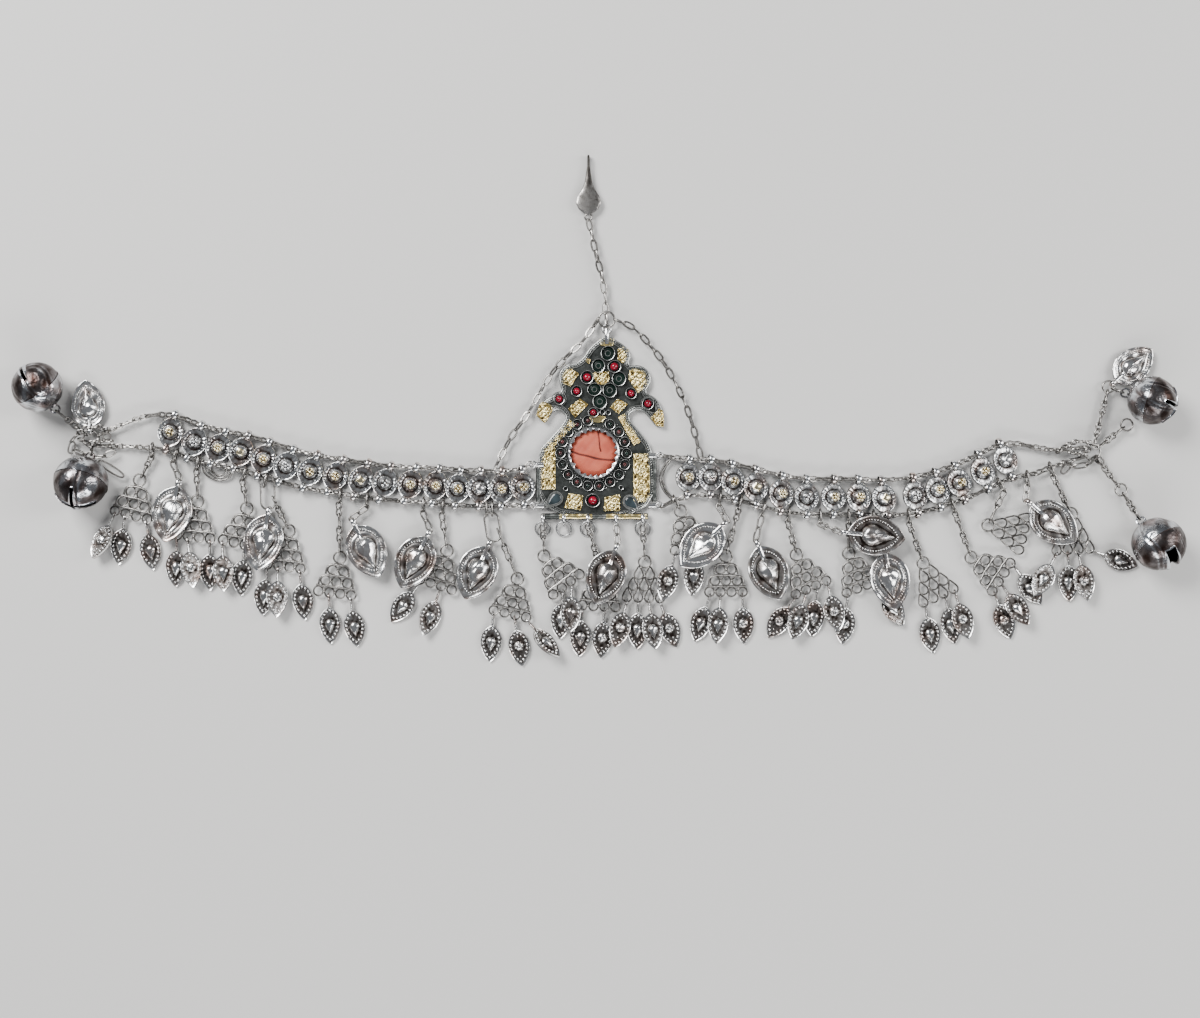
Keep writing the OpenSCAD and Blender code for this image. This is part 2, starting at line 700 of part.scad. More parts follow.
module coral_stone() {
  stone_r = bezel_r - 0.8;
  stone_h = 1.9;
  color("salmon") translate([0, 0, plate_t + 0.1]) rotate_extrude()
    polygon([
      [0, 0], [stone_r, 0], [stone_r, 0.45 * stone_h], [0.85 * stone_r, 0.7 * stone_h],
      [0.5 * stone_r, 0.93 * stone_h], [0, stone_h]
    ]);
}

module red_stones() {
  for (c = collets)
    if (c[3] == 1) {
      r = c[2] - collet_wall - 0.15;
      ball_r = 1.15 * r;
      color("crimson") translate([c.x, c.y, plate_t + 0.12]) rotate_extrude() intersection() {
        translate([0, 1.9 - ball_r]) circle(ball_r);
        square([r, 2]);
      }
    }
}

module chain(route) {
  color("darkgray") chain_tube(route);
}

crest();
gilt_tubes();
coral_stone();
red_stones();
hair_hook();
plaques(plaques_left_at);  // plaques_left
plaques(plaques_right_at);  // plaques_right
chain(upper_left_route);  // upper_chain_left
chain(lower_left_route);  // lower_chain_left
chain(upper_right_route);  // upper_chain_right
chain(lower_right_route);  // lower_chain_right
chain(crest_left_route);  // crest_chain_left
chain(crest_right_route);  // crest_chain_right
chain(hook_route);  // hook_chain
links_left();
links_right();
for (i = [0 : len(bells_at) - 1])
  bell(bells_at[i]);
for (i = [0 : len(ladders_at) - 1])
  ladder(ladders_at[i]);
for (i = [0 : len(leaves_at) - 1])
  big_leaf(leaves_at[i]);
end_leaf(gather_left, gather_r, -174, 0.85);  // end_leaf_left
end_leaf(ring_a, end_ring_r, 131, 0.85);  // end_leaf_right
small_leaves(small_left_at);  // small_leaves_left
small_leaves(small_middle_at);  // small_leaves_middle
small_leaves(small_right_at);  // small_leaves_right
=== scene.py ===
import math
import bmesh
import bpy
import numpy as np
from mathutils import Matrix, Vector


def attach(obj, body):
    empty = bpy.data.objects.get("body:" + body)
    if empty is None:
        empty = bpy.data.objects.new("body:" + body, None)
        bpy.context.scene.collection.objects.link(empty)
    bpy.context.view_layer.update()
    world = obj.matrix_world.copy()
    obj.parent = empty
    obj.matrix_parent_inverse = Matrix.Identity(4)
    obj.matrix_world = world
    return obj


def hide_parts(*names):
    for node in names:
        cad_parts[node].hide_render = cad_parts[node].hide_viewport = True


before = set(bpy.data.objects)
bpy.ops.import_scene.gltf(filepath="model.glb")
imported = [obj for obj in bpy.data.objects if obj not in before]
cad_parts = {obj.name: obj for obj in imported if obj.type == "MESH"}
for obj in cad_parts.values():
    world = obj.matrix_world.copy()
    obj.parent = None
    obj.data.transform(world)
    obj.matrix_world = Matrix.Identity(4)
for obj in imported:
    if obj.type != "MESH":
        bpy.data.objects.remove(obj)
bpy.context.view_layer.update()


# The headdress lies spread out on a plain pale table, and is looked at from straight above.
# A wide lamp at the upper left and two weaker ones at the right and in front light it softly,
# with darker air between them, so that the worn silver shows bright and dark.
def shown(name, data):
    """An object with this data, put into the scene."""
    thing = bpy.data.objects.new(name, data)
    bpy.context.scene.collection.objects.link(thing)
    return thing


def feed(material, inputs, node=None):
    """Sets inputs of a node, or else of the main shader. Each takes a value, or is wired to the
    output of another node."""
    node = node or material.node_tree.nodes["Principled BSDF"]
    for key, value in inputs.items():
        if isinstance(value, bpy.types.NodeSocket):
            material.node_tree.links.new(value, node.inputs[key])
        else:
            node.inputs[key].default_value = value
    return node


def finish(name, inputs):
    """A material whose main shader has these inputs."""
    material = bpy.data.materials.new(name)
    material.use_nodes = True
    feed(material, inputs)
    return material


camera_data = bpy.data.cameras.new("camera")
camera_data.lens = 50
camera_data.sensor_width = 36
camera_data.clip_start = 0.01
camera = shown("camera", camera_data)
camera.location = (0.0023, -0.0198, 0.593)
bpy.context.scene.camera = camera

table_mesh = bpy.data.meshes.new("table")
table_mesh.from_pydata([(-3, -3, 0), (3, -3, 0), (3, 3, 0), (-3, 3, 0)], [], [(0, 1, 2, 3)])
table_mesh.materials.append(finish("pale_table", {"Base Color": (0.72, 0.71, 0.69, 1), "Roughness": 0.8}))
table = shown("table", table_mesh)

world = bpy.data.worlds.new("room")
world.use_nodes = True
world.node_tree.nodes["Background"].inputs["Color"].default_value = (0.5, 0.52, 0.56, 1)
world.node_tree.nodes["Background"].inputs["Strength"].default_value = 0.3
bpy.context.scene.world = world
for name, place, width, height, watts in [
        ("lamp_left", (-0.55, 0.55, 0.75), 0.55, 0.45, 17),
        ("lamp_right", (0.75, 0.15, 0.5), 0.3, 0.7, 6),
        ("lamp_front", (0.1, -0.75, 0.5), 0.9, 0.2, 5)]:
    lamp = bpy.data.lights.new(name, "AREA")
    lamp.shape = "RECTANGLE"
    lamp.size = width
    lamp.size_y = height
    lamp.energy = watts
    stand = shown(name, lamp)
    stand.location = place
    stand.rotation_euler = (-Vector(place)).to_track_quat("-Z", "Y").to_euler()

# The crest's back plate is cut from sheet silver and blackened with age. Three wires are soldered
# along its edge, a twisted one between two plain ones. All the rest is soldered on it.
MM = 0.001


def skin(points, worn, closed=False):
    """A surface through rows of points that run round: each row is joined to the next, and if
    closed the last to the first. A surface is its points in millimetres, each point's wear and
    painted shade, and the four corner numbers of each square."""
    rows, columns = points.shape[:2]
    row = np.arange(rows if closed else rows - 1)[:, None]
    column = np.arange(columns)
    below = (row + 1) % rows * columns
    right = (column + 1) % columns
    corners = np.broadcast_arrays(row * columns + column, row * columns + right, below + right,
                                  below + column)
    worn = np.broadcast_to(np.asarray(worn, float), (rows, columns))
    return points.reshape(-1, 3), worn.reshape(-1), np.stack(corners, -1).reshape(-1, 4)


def capped(points, worn):
    """A skin whose first and last rows are drawn together to their middles."""
    worn = np.broadcast_to(worn, points.shape[:2])
    start, end = [np.broadcast_to(row.mean(0), (1, *row.shape)) for row in (points[0], points[-1])]
    return skin(np.concatenate([start, points, end]), np.concatenate([worn[:1], worn, worn[-1:]]))


def joined(parts):
    """Several surfaces as one: each one's corner numbers move up by the points before it."""
    points, worn, squares = zip(*parts)
    starts = np.cumsum([0] + [len(p) for p in points[:-1]])
    return (np.concatenate(points), np.concatenate(worn),
            np.concatenate([s + start for s, start in zip(squares, starts)]))


def placed(part, turn, place=(0, 0, 0)):
    """The surface turned by a matrix, then moved: p' = turn p + place."""
    return part[0] @ np.asarray(turn, float).T + np.asarray(place, float), part[1], part[2]


def moved(part, place):
    """The surface moved: p' = p + place."""
    return part[0] + np.asarray(place, float), part[1], part[2]


def copies(part, places, turns=np.eye(3)):
    """One surface set down many times, each with its own place and turn."""
    turns = np.broadcast_to(turns, (len(places), 3, 3))
    points = np.einsum("kij,nj->kni", turns, part[0]) + np.asarray(places)[:, None, :]
    steps = np.arange(len(places))[:, None, None] * len(part[0])
    return points.reshape(-1, 3), np.tile(part[1], len(places)), (part[2] + steps).reshape(-1, 4)


def turned(x=0, y=0, z=0):
    """Turn about X, then Y, then Z, in degrees, as a matrix."""
    a, b, c = np.radians([x, y, z])
    turn_x = np.array([[1, 0, 0], [0, np.cos(a), -np.sin(a)], [0, np.sin(a), np.cos(a)]])
    turn_y = np.array([[np.cos(b), 0, np.sin(b)], [0, 1, 0], [-np.sin(b), 0, np.cos(b)]])
    turn_z = np.array([[np.cos(c), -np.sin(c), 0], [np.sin(c), np.cos(c), 0], [0, 0, 1]])
    return turn_z @ turn_y @ turn_x


def mesh_of(name, points, worn, faces):
    """A mesh in metres carrying wear and painted shade: equal points are merged, and faces turn outwards."""
    mesh = bpy.data.meshes.new(name)
    mesh.from_pydata(points * MM, [], faces)
    mesh.attributes.new("worn", "FLOAT", "POINT").data.foreach_set("value", worn.astype(np.float32))
    work = bmesh.new()
    work.from_mesh(mesh)
    bmesh.ops.remove_doubles(work, verts=work.verts, dist=1e-6)
    bmesh.ops.recalc_face_normals(work, faces=work.faces)
    work.to_mesh(mesh)
    work.free()
    return mesh


def show_piece(mesh, material, node):
    """Shows a mesh as a piece of the part, in place of a node of the construction."""
    mesh.materials.append(material)
    piece = shown(mesh.name, mesh)
    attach(piece, "root")
    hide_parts(node)


def made_piece(name, part, material, node, crease=50):
    """Shows a surface as a smooth piece with creases past an angle. Points that face down are
    painted darker than those that face up, as painted shade."""
    mesh = mesh_of(name, *part)
    normals = np.empty(len(mesh.vertices) * 3, np.float32)
    mesh.vertices.foreach_get("normal", normals)
    worn = np.empty(len(mesh.vertices), np.float32)
    layer = mesh.attributes["worn"].data
    layer.foreach_get("value", worn)
    # Faces turned down are painted darker, as painted shade on the undersides.
    layer.foreach_set("value", np.clip(worn * (0.72 + 0.28 * normals[2::3]), 0, 1))
    mesh.shade_smooth()
    mesh.set_sharp_from_angle(angle=math.radians(crease))
    show_piece(mesh, material, node)


def output(material, kind, inputs, which=0, **settings):
    """Adds a shader node with its inputs and settings, and gives one of its outputs."""
    node = material.node_tree.nodes.new("ShaderNode" + kind)
    for key, value in settings.items():
        setattr(node, key, value)
    return feed(material, inputs, node).outputs[which]


def noise(material, scale, detail=2, roughness=0.5):
    """Cloudy noise that lies on the piece's own coordinates."""
    place = output(material, "TexCoord", {}, "Object")
    return output(material, "TexNoise", {"Vector": place, "Scale": scale, "Detail": detail,
                                         "Roughness": roughness})


def ramp(material, value, stops):
    """A colour picked by a value: each stop is a place on the ramp and its colour."""
    colour = output(material, "ValToRGB", {"Fac": value})
    elements = colour.node.color_ramp.elements
    for _ in stops[2:]:
        elements.new(0.5)
    for element, (place, shade) in zip(elements, stops):
        element.position = place
        element.color = (*shade, 1)
    return colour


def metal(name, deep, middle, high, rough_deep, rough_high, grain, scratch, patina=None,
          uneven=0.00008):
    """A metal kept dark in the recesses by tarnish and painted shade: each point's wear and painted
    shade, shifted by cloudy noise of a few millimetres, picks its colour and its roughness; fine
    noise makes it uneven by that many metres. A patina, if given, tints patches that a slower
    noise picks."""
    material = finish(name, {"Metallic": 1})
    # The attribute read here is each point's wear together with painted shade: recesses, grooves and faces
    # turned down are painted darker.
    worn = output(material, "Attribute", {}, "Fac", attribute_name="worn")
    shift = output(material, "Math", {0: noise(material, grain, 6, 0.7), 1: 1.1, 2: -0.55},
                   operation="MULTIPLY_ADD")
    total = output(material, "Math", {0: worn, 1: shift}, operation="ADD")
    colour = ramp(material, total, [(0.15, deep), (0.5, middle), (0.9, high)])
    if patina:
        much = output(material, "MapRange", {"Value": noise(material, 150, 3), "From Min": 0.5,
                                             "From Max": 0.68})
        colour = output(material, "Mix", {"Factor": much, "A": colour, "B": (*patina, 1)}, "Result",
                        data_type="RGBA", blend_type="MULTIPLY")
    rough = output(material, "MapRange", {"Value": total, "From Min": 0.1, "From Max": 0.9,
                                          "To Min": rough_deep, "To Max": rough_high})
    bump = output(material, "Bump", {"Height": noise(material, scratch, 3), "Strength": 0.5,
                                     "Distance": uneven})
    feed(material, {"Base Color": colour, "Roughness": rough, "Normal": bump})
    return material


def unit(vectors):
    """Each vector with its length made one."""
    return vectors / np.linalg.norm(vectors, axis=-1, keepdims=True)


def around(count):
    """Angles in even steps, once round."""
    return np.arange(count) * 2 * np.pi / count


def circle_path(radius, count, z=0.0):
    """Points round a circle that lies flat: (r cos a, r sin a, z)."""
    angle = around(count)
    return np.stack([radius * np.cos(angle), radius * np.sin(angle), z + 0 * angle], 1)


def way_along(line):
    """How far along a line each of its points lies."""
    return np.concatenate([[0], np.cumsum(np.linalg.norm(np.diff(line, axis=0), axis=1))])


def picked(at, far, line):
    """Points at some ways along a line whose own points lie far along it."""
    return np.stack([np.interp(at, far, column) for column in line.T], 1)


def spread(line, closed, step=0, count=0):
    """A line walked in equal steps: count points, or as many as there are steps in it."""
    line = np.asarray(line, float)
    if closed:
        line = np.concatenate([line, line[:1]])
    far = way_along(line)
    count = count or max(int(far[-1] / step), 3)
    return picked(np.linspace(0, far[-1], count, endpoint=not closed), far, line)


def even_walk(points, step, closed=False):
    """A line through the points with its corners cut twice, walked in equal steps."""
    line = np.asarray(points, float)
    for _ in range(2):
        after = np.roll(line, -1, 0) if closed else line[1:]
        here = line if closed else line[:-1]
        cut = np.stack([0.75 * here + 0.25 * after, 0.25 * here + 0.75 * after], 1)
        cut = cut.reshape(-1, line.shape[1])
        line = cut if closed else np.concatenate([line[:1], cut, line[-1:]])
    return spread(line, closed, step)


def wire(path, radius, sides=8, closed=False, flat=1.0, twist=0, worn=0.75, up=(0, 0, 1)):
    """A round profile carried along a path. At each point t is the way along, s = up x t is
    sideways and n = t x s, and the profile is r (cos a s + flat sin a n). With a twist, r swells
    twice round the profile and turns once in that many millimetres, which makes rope."""
    path = np.asarray(path, float)
    along = unit(np.roll(path, -1, 0) - np.roll(path, 1, 0) if closed else np.gradient(path, axis=0))
    side = unit(np.cross(np.broadcast_to(up, path.shape), along))
    normal = np.cross(along, side)
    angle = around(sides)
    swell = np.ones((len(path), sides))
    if twist:
        far = way_along(path)[:, None]
        total = far[-1] + np.linalg.norm(path[0] - path[-1])
        swell = 1 - 0.3 * np.sin(angle - np.pi * np.round(total / twist) * far / total) ** 2
    points = path[:, None, :] + radius * swell[..., None] * (
        np.cos(angle)[:, None] * side[:, None, :] + flat * np.sin(angle)[:, None] * normal[:, None, :])
    # The grooves between a rope's strands are painted darker, as shade.
    shine = worn * np.clip((swell - 0.55) / 0.45, 0, 1)
    return skin(points, shine, True) if closed else capped(points, shine)


def hoop(radius, thick, count, sides=8, **how):
    """A ring of wire that lies flat."""
    return wire(circle_path(radius, count), thick, sides, True, **how)


def inset(line, distance, z):
    """The closed line at height z, each point moved in along the mean of the normals there."""
    along = unit(np.roll(line, -1, 0) - np.roll(line, 1, 0))
    inner = line + distance * np.stack([along[:, 1], -along[:, 0]], 1)
    return np.concatenate([inner, np.full((len(line), 1), z)], 1)


black_silver = metal("blackened_silver", (0.018, 0.02, 0.019), (0.085, 0.091, 0.087),
                     (0.6, 0.61, 0.59), 0.62, 0.32, 420, 2200)
crest_edge = np.array([
    [-20, -23], [-20, 0.5], [-16, 4.5], [-12, 9], [-9.5, 12.5], [-11.5, 15.5],
    [-14.5, 15], [-17, 10.5], [-20.5, 13.5], [-19, 17.5], [-14.5, 20.5], [-11, 22],
    [-12, 24], [-12.5, 28], [-10, 31.5], [-6, 32], [-3.5, 34], [-1, 38], [2.5, 40.5],
    [4.5, 42], [7.5, 40.5], [11.5, 38], [13.5, 34.5], [12, 31], [16.5, 31.5], [20, 29],
    [20.5, 24.5], [18, 21.5], [22, 20], [24.5, 16], [25, 9], [22, 9.5], [20, 12.5],
    [17, 15.5], [14, 15], [12, 12.5], [16.5, 7.5], [21.5, 1], [22, -23]])
plate_top = 1.4
edge = even_walk(crest_edge, 0.5, True)
edge_count = len(edge)
points, worn, squares = skin(np.stack([inset(edge, 0.15, 0.0), inset(edge, 0, 0.15), inset(edge, 0, 1.25),
                                       inset(edge, 0.15, plate_top)]), 0.36)
back_and_front = [list(range(edge_count)), list(range(3 * edge_count, 4 * edge_count))]
plate = mesh_of("crest_plate", points, worn, squares.tolist() + back_and_front)
show_piece(plate, black_silver, "crest")
crest_parts = [wire(inset(edge, 0.35, plate_top + 0.25), 0.34, closed=True, worn=0.9),
               wire(inset(even_walk(crest_edge, 0.22, True), 1.0, plate_top + 0.33), 0.36, closed=True,
                    twist=0.9, worn=0.9),
               wire(inset(edge, 1.6, plate_top + 0.18), 0.25, 6, True)]

# Collets are bands of thin silver bent round each small stone, with a thin ring of wire inside
# most of them, and small rings of the same band stand round the big bezel.
collets = [  # x, y, radius, red stone
    (5.1, 35.4, 2.65, 0), (1.7, 31, 2.5, 0), (7.4, 30.7, 2.4, 1), (-2.3, 26.9, 2.45, 1),
    (9, 26.4, 2.65, 0), (0.3, 22.6, 2.5, 0), (5.75, 22.3, 2.65, 0), (2.2, 18.3, 2.65, 0),
    (-6, 22, 2.05, 1), (13.3, 21.2, 2.1, 1), (-0.1, 14.4, 1.9, 1), (-12.2, 19.2, 2.1, 1),
    (19.3, 17.6, 2.25, 1), (-0.3, -16.8, 2.6, 1)]
collet_foot = plate_top - 0.05


def lathe(profile, sides, worn):
    """A profile of radii and heights turned round the Z axis."""
    points = np.stack([circle_path(radius, sides, z) for radius, z in profile])
    return skin(points, np.asarray(worn, float).reshape(-1, 1))


def band(radius, wall, height, lip):
    """A thin band: up outside, over a rounded lip that leans in, and down inside."""
    outline = [(radius - wall, 0), (radius, 0), (radius, 0.6 * height), (radius - lip, height),
               (radius - lip - 0.6 * wall, height - 0.05), (radius - wall, 0.55 * height),
               (radius - wall, 0)]
    # The band's foot and inside are painted dark, as shade, and its lip brightest.
    return lathe(outline, 28, [0.1, 0.25, 0.5, 1, 0.95, 0.3, 0.1])


def beads(centres, radius, columns=8):
    """Little balls: points on a sphere, four bands high, set down at each centre."""
    tall = np.linspace(-np.pi / 2, np.pi / 2, 5)
    return copies(lathe(radius * np.stack([np.cos(tall), np.sin(tall)], 1), columns, 0.95), centres)


for x, y, r, red in collets:
    oval = turned(z=50 * x) @ np.diag([1.03, 0.96, 1])
    inner_wire = hoop((0.55 if red else 0.36) * r, 0.17, 20, 6, worn=0.7)
    crest_parts += [placed(band(r, 0.26, 1.45, 0.1), oval, (x, y, collet_foot)),
                    moved(inner_wire, (x, y, plate_top + 0.5))]
small_at = circle_path(11.75, 18, collet_foot)
small_at = small_at[np.hypot(small_at[:, 0] - 1.4, small_at[:, 1] - 12) > 3.3]
small_wire = moved(hoop(0.95, 0.15, 16, 6, worn=0.5), (0, 0, 0.45))
crest_parts += [copies(band(1.9, 0.24, 1.05, 0.1), small_at), copies(small_wire, small_at)]
for x, y, r in [(3.15, 14.6, 1.0), (5.2, 14.4, 1.0), (-9.9, -12.6, 0.9), (9.8, -12.2, 0.9)]:
    crest_parts.append(moved(band(r, 0.22, 0.95, 0.08), (x, y, collet_foot)))
for radius in (13.1, 10.2):
    crest_parts.append(beads(circle_path(radius, 18, 1.5) @ turned(z=10).T, 0.3, 6))

# The bezel is a tall band of bright silver whose lip is cut into teeth with a saw, and the teeth
# are bent in over the coral by hand, no two alike. A thin twisted wire lies round its foot.
bezel_silver = metal("bezel_silver", (0.06, 0.06, 0.058), (0.5, 0.5, 0.5), (0.95, 0.95, 0.94),
                     0.45, 0.2, 500, 2600)
bezel_r, bezel_tall = 9.15, 3.3
teeth, points_per_tooth = 22, 10
bezel_angle = around(teeth * points_per_tooth)
uneven = 0.5 + 0.25 * np.sin(3 * bezel_angle + 2.2) + 0.25 * np.sin(7 * bezel_angle + 0.6)
shifted = bezel_angle + 0.05 * np.sin(4 * bezel_angle)
tooth = np.abs(2 * ((teeth * shifted / (2 * np.pi)) % 1) - 1) ** 1.1
reach_in = 0.55 + tooth * (0.65 + 0.8 * uneven)
droop = 0.25 * tooth * uneven
# The third number of each row is wear and painted shade: the foot and the inside are painted dark, as shade,
# and the teeth brightest.
bezel_profile = [
    (bezel_r - 0.5, 0, 0.2), (bezel_r, 0, 0.4), (bezel_r, 2.1, 0.9), (bezel_r - 0.05, bezel_tall - 0.3, 1.3),
    (bezel_r - 0.45, bezel_tall, 1.4), (bezel_r - reach_in, bezel_tall - 0.12 - droop, 1.3),
    (bezel_r - reach_in - 0.06, bezel_tall - 0.28 - droop, 0.8), (bezel_r - 0.5, bezel_tall - 0.35, 0.2),
    (bezel_r - 0.5, 0, 0.1)]
bezel_rows = [circle_path(radius, len(bezel_angle), plate_top + z) for radius, z, _ in bezel_profile]
bezel = skin(np.stack(bezel_rows), [[worn] for _, _, worn in bezel_profile])
made_piece("crest_bezel", bezel, bezel_silver, "crest", 35)
crest_parts.append(moved(hoop(9.55, 0.26, 150, twist=1.0), (0, 0, plate_top + 0.2)))

# At the crest's foot two pointed cells of wire hold dark glass, and a rod is soldered along the
# edge. Loops on the rod carry the drops, and rings at the sides and top take the chains.
chain_z = 2.35
rod_y, rod_z = -22.4, 1.6


def drop_path(round_r, tip, z=0.0):
    """Outline of a drop at height z: a circle of round_r whose points above its middle are drawn
    in and up to a tip, by the cube of how high they stand."""
    angle = around(48)
    rise = np.clip(np.sin(angle), 0, 1) ** 3
    return np.stack([round_r * np.cos(angle) * (1 - 0.55 * rise),
                     round_r * np.sin(angle) * (1 - rise) + tip * rise, z + 0 * angle], 1)


cells = [(-13.3, -16, 128), (12.8, -17.2, -130)]
cell_wires = joined([wire(drop_path(2.35 * size, 5.2 * size, 0.5 * size), 0.3 * size, 6, True)
                     for size in (1, 0.8)])
wing_wire = wire(drop_path(2.45, 4.2, 0.35), 0.24, 6, True)
crest_parts += [placed(cell_wires, turned(z=turn), (x, y, plate_top)) for x, y, turn in cells]
crest_parts += [placed(wing_wire, turned(z=turn), (x, y, plate_top))
                for x, y, turn in [(-12.2, 19.2, 118), (19.3, 17.6, -140)]]
crest_parts.append(wire(np.linspace((-18.4, rod_y, rod_z), (19.4, rod_y, rod_z), 60), 1.1, 12, worn=0.55))
for x, low, high in [(-19.6, -17.3, -5.3), (21.5, -17.2, -2.2)]:
    crest_parts.append(wire(np.linspace((x, low, 1.45), (x, high, 1.45), 30), 0.85, 12, worn=0.5))
made_piece("crest_wires", joined(crest_parts), black_silver, "crest")


# Bright straps of sheet silver are bent round the foot rod and carry its loops, and four of them
# a bigger ring as well. Lugs at the sides take the band's chains, and a strap over the crest's
# top holds the ring that gathers the chains.
def standing(radius, thick, count=24, sides=8, **how):
    """A ring of wire that stands on edge along Y."""
    return placed(hoop(radius, thick, count, sides, **how), turned(y=90))


strap_parts = []
for x in [-18, -10.5, -2, 8, 17.5]:
    strap_parts += [moved(standing(1.5, 0.26, flat=2.6, worn=0.95), (x, -23.1, 2.0)),
                    moved(standing(1.5, 0.35), (x, -24.3, chain_z))]
    if x != 8:
        strap_parts.append(placed(hoop(2.65, 0.35, 36, worn=0.45), turned(x=14), (x, -26.8, 1.1)))
for x, y, side in [(-20, -4, -1), (-20, -18.6, -1), (22, -0.8, 1), (22, -18.5, 1)]:
    lug = np.linspace((-2.4 * side, 0, 0.7), (0.9 * side, 0, 0.7), 8)
    strap_parts += [moved(hoop(1.0, 0.35, 20), (x + 1.4 * side, y, chain_z)),
                    moved(wire(lug, 0.85, flat=0.45, worn=0.95), (x, y, 1.3))]
neck_y = np.linspace(-3.2, 2.2, 10)
neck = np.stack([0 * neck_y, neck_y, 0.35 + 0.75 * np.sin(np.linspace(0.2, np.pi - 0.4, 10))], 1)
strap_parts += [moved(hoop(1.5, 0.35, 24), (4.6, 43.9, chain_z)),
                moved(wire(neck, 0.72, flat=0.5, worn=1.0), (4.7, 42, 1.4))]
made_piece("crest_straps", joined(strap_parts), bezel_silver, "crest")

# Gilt sheets cover the crest between the collets. Each is thin silver, cut to the place it fills,
# stamped all over with little flowers and gilded. The high parts are bright, and the stamped
# recesses are painted dark, as tarnish and painted shade.
gilt = metal("gilt_sheet", (0.045, 0.03, 0.012), (0.72, 0.54, 0.19), (1.0, 0.86, 0.45),
             0.5, 0.22, 420, 2600)
gilt_sheets = [  # corners, how it is stamped
    ([(2.1, 40.6), (7.3, 40.6), (7.1, 38.3), (5.9, 37.9), (3.6, 37.9), (2.4, 38.3)], 0),
    ([(-3.9, 33.9), (-0.9, 33.2), (-1.4, 31.7), (-2.2, 32)], 0),
    ([(-1.5, 13.2), (4.3, 13.2), (4.2, 12.2), (3.2, 11.1), (1.4, 10.7), (-0.5, 11.1), (-1.5, 12.2)], 0),
    ([(10.4, 37.8), (12.4, 36.9), (12.8, 34.2), (10.4, 31.8), (8.5, 33), (8.6, 36.9)], 1),
    ([(-9.8, 31.4), (-5, 28.2), (-8.1, 23.5), (-11.3, 24.9), (-11.2, 29.6)], 1),
    ([(14.4, 30.4), (18.4, 28.8), (19.5, 24), (15.6, 21.3), (12.3, 26.3), (12.7, 29.4)], 1),
    ([(0.1, 28.9), (5.5, 29), (5.9, 26.4), (4.2, 24.2), (1.4, 24.4), (-0.1, 26.6)], 1),
    ([(-17.9, 18.3), (-15.1, 17.3), (-14.4, 15.3), (-16.6, 11.3), (-17.4, 10.7), (-20.4, 13.3),
      (-19.2, 17.3)], 2),
    ([(23.2, 15.9), (24.5, 15.2), (25, 12.4), (24.9, 9.2), (22.3, 9.7), (20.2, 12.4)], 2),
    ([(-4.8, 19.6), (-1.7, 17.4), (-6.6, 12.4), (-9.1, 15.8)], 1),
    ([(8.5, 19.4), (12.4, 17.5), (8.9, 13.9), (5.7, 16.2)], 1),
    ([(-8.8, -14.1), (-3.6, -14.9), (-4.4, -20.3), (-10.6, -19.4)], 1),
    ([(3.9, -15.6), (9.4, -14.4), (9.4, -20.5), (3.6, -20.6)], 1)]
gilt_strips = [  # x, y, length, width, turn
    (-11.8, 6.6, 12.6, 2.8, 46), (12.6, 8.4, 11.6, 2.7, -61),
    (-16.1, -5.5, 14.8, 5.2, 90), (17, -8.7, 17.2, 5.9, 90)]
side_points, rows_inward = 55, 26


def hump(u, middle, wide):
    """A smooth ridge: exp(-((u - middle) / wide)^2)."""
    return np.exp(-((u - middle) / wide) ** 2)


def flowers(x, y, pitch, size):
    """Stamped flowers in a row: x is folded to the nearest flower's middle. Each petal is a ring
    round its own middle, and d is the distance from that; a small knob stands between them."""
    u = (x / pitch - np.floor(x / pitch) - 0.5) * pitch
    angle = np.arctan2(y, u) + 0.3
    fold = angle - np.round(angle / (np.pi / 3)) * np.pi / 3
    far = np.hypot(u, y)
    d = np.hypot(far * np.cos(fold) - 0.62 * size, far * np.sin(fold))
    petals = hump(d, 0.25 * size, 0.12 * size) + hump(far, 0, 0.22 * size)
    return np.clip(petals + hump(far, 1.25 * size, 0.14 * size) * np.abs(np.cos(3 * angle)), 0, 1)


def closed_sheet(x, y, high, seed, lift=0.16):
    """A sheet whose rows go from its outline in to its middle, lifted, 0.36 mm higher where it is
    stamped up, and a little uneven, closed below by a flat foot."""
    sag = 0.06 * np.sin(0.9 * x + seed) * np.sin(1.1 * y + seed)
    top = np.stack([x, y, lift + 0.36 * high + sag], -1)
    foot = top[:1] * (1, 1, 0)
    middle = np.broadcast_to(foot.mean(1, keepdims=True), foot.shape)
    # The stamped recesses are painted darker than the high parts, as tarnish and painted shade.
    shade = np.concatenate([np.zeros((2, x.shape[1])), 0.14 + 0.96 * high])
    return skin(np.concatenate([middle, foot, top]), shade)


def cut_sheet(corners, stamped, seed):
    """A sheet with straight sides: points go from the outline, walked in even steps, straight in
    to its middle. Stamped is 0 for a plain sheet, 1 for a flower, and 2 for a flower on a sheet
    that lies over the border wires."""
    outline = spread(corners, True, count=2 * side_points)
    middle = outline.mean(0)
    q = np.linspace(1, 0, rows_inward)[:, None]
    x, y = [q * column for column in (outline - middle).T]
    size = np.hypot(*(outline - middle).T).min()
    high = flowers(x + 5 * size, y, 10 * size, size) if stamped else 0.55 + 0 * x
    high = np.clip(high + 0.7 * hump(q, 0.93, 0.05), 0, 1)
    return moved(closed_sheet(x, y, high, seed, 0.62 if stamped == 2 else 0.16), (*middle, plate_top))


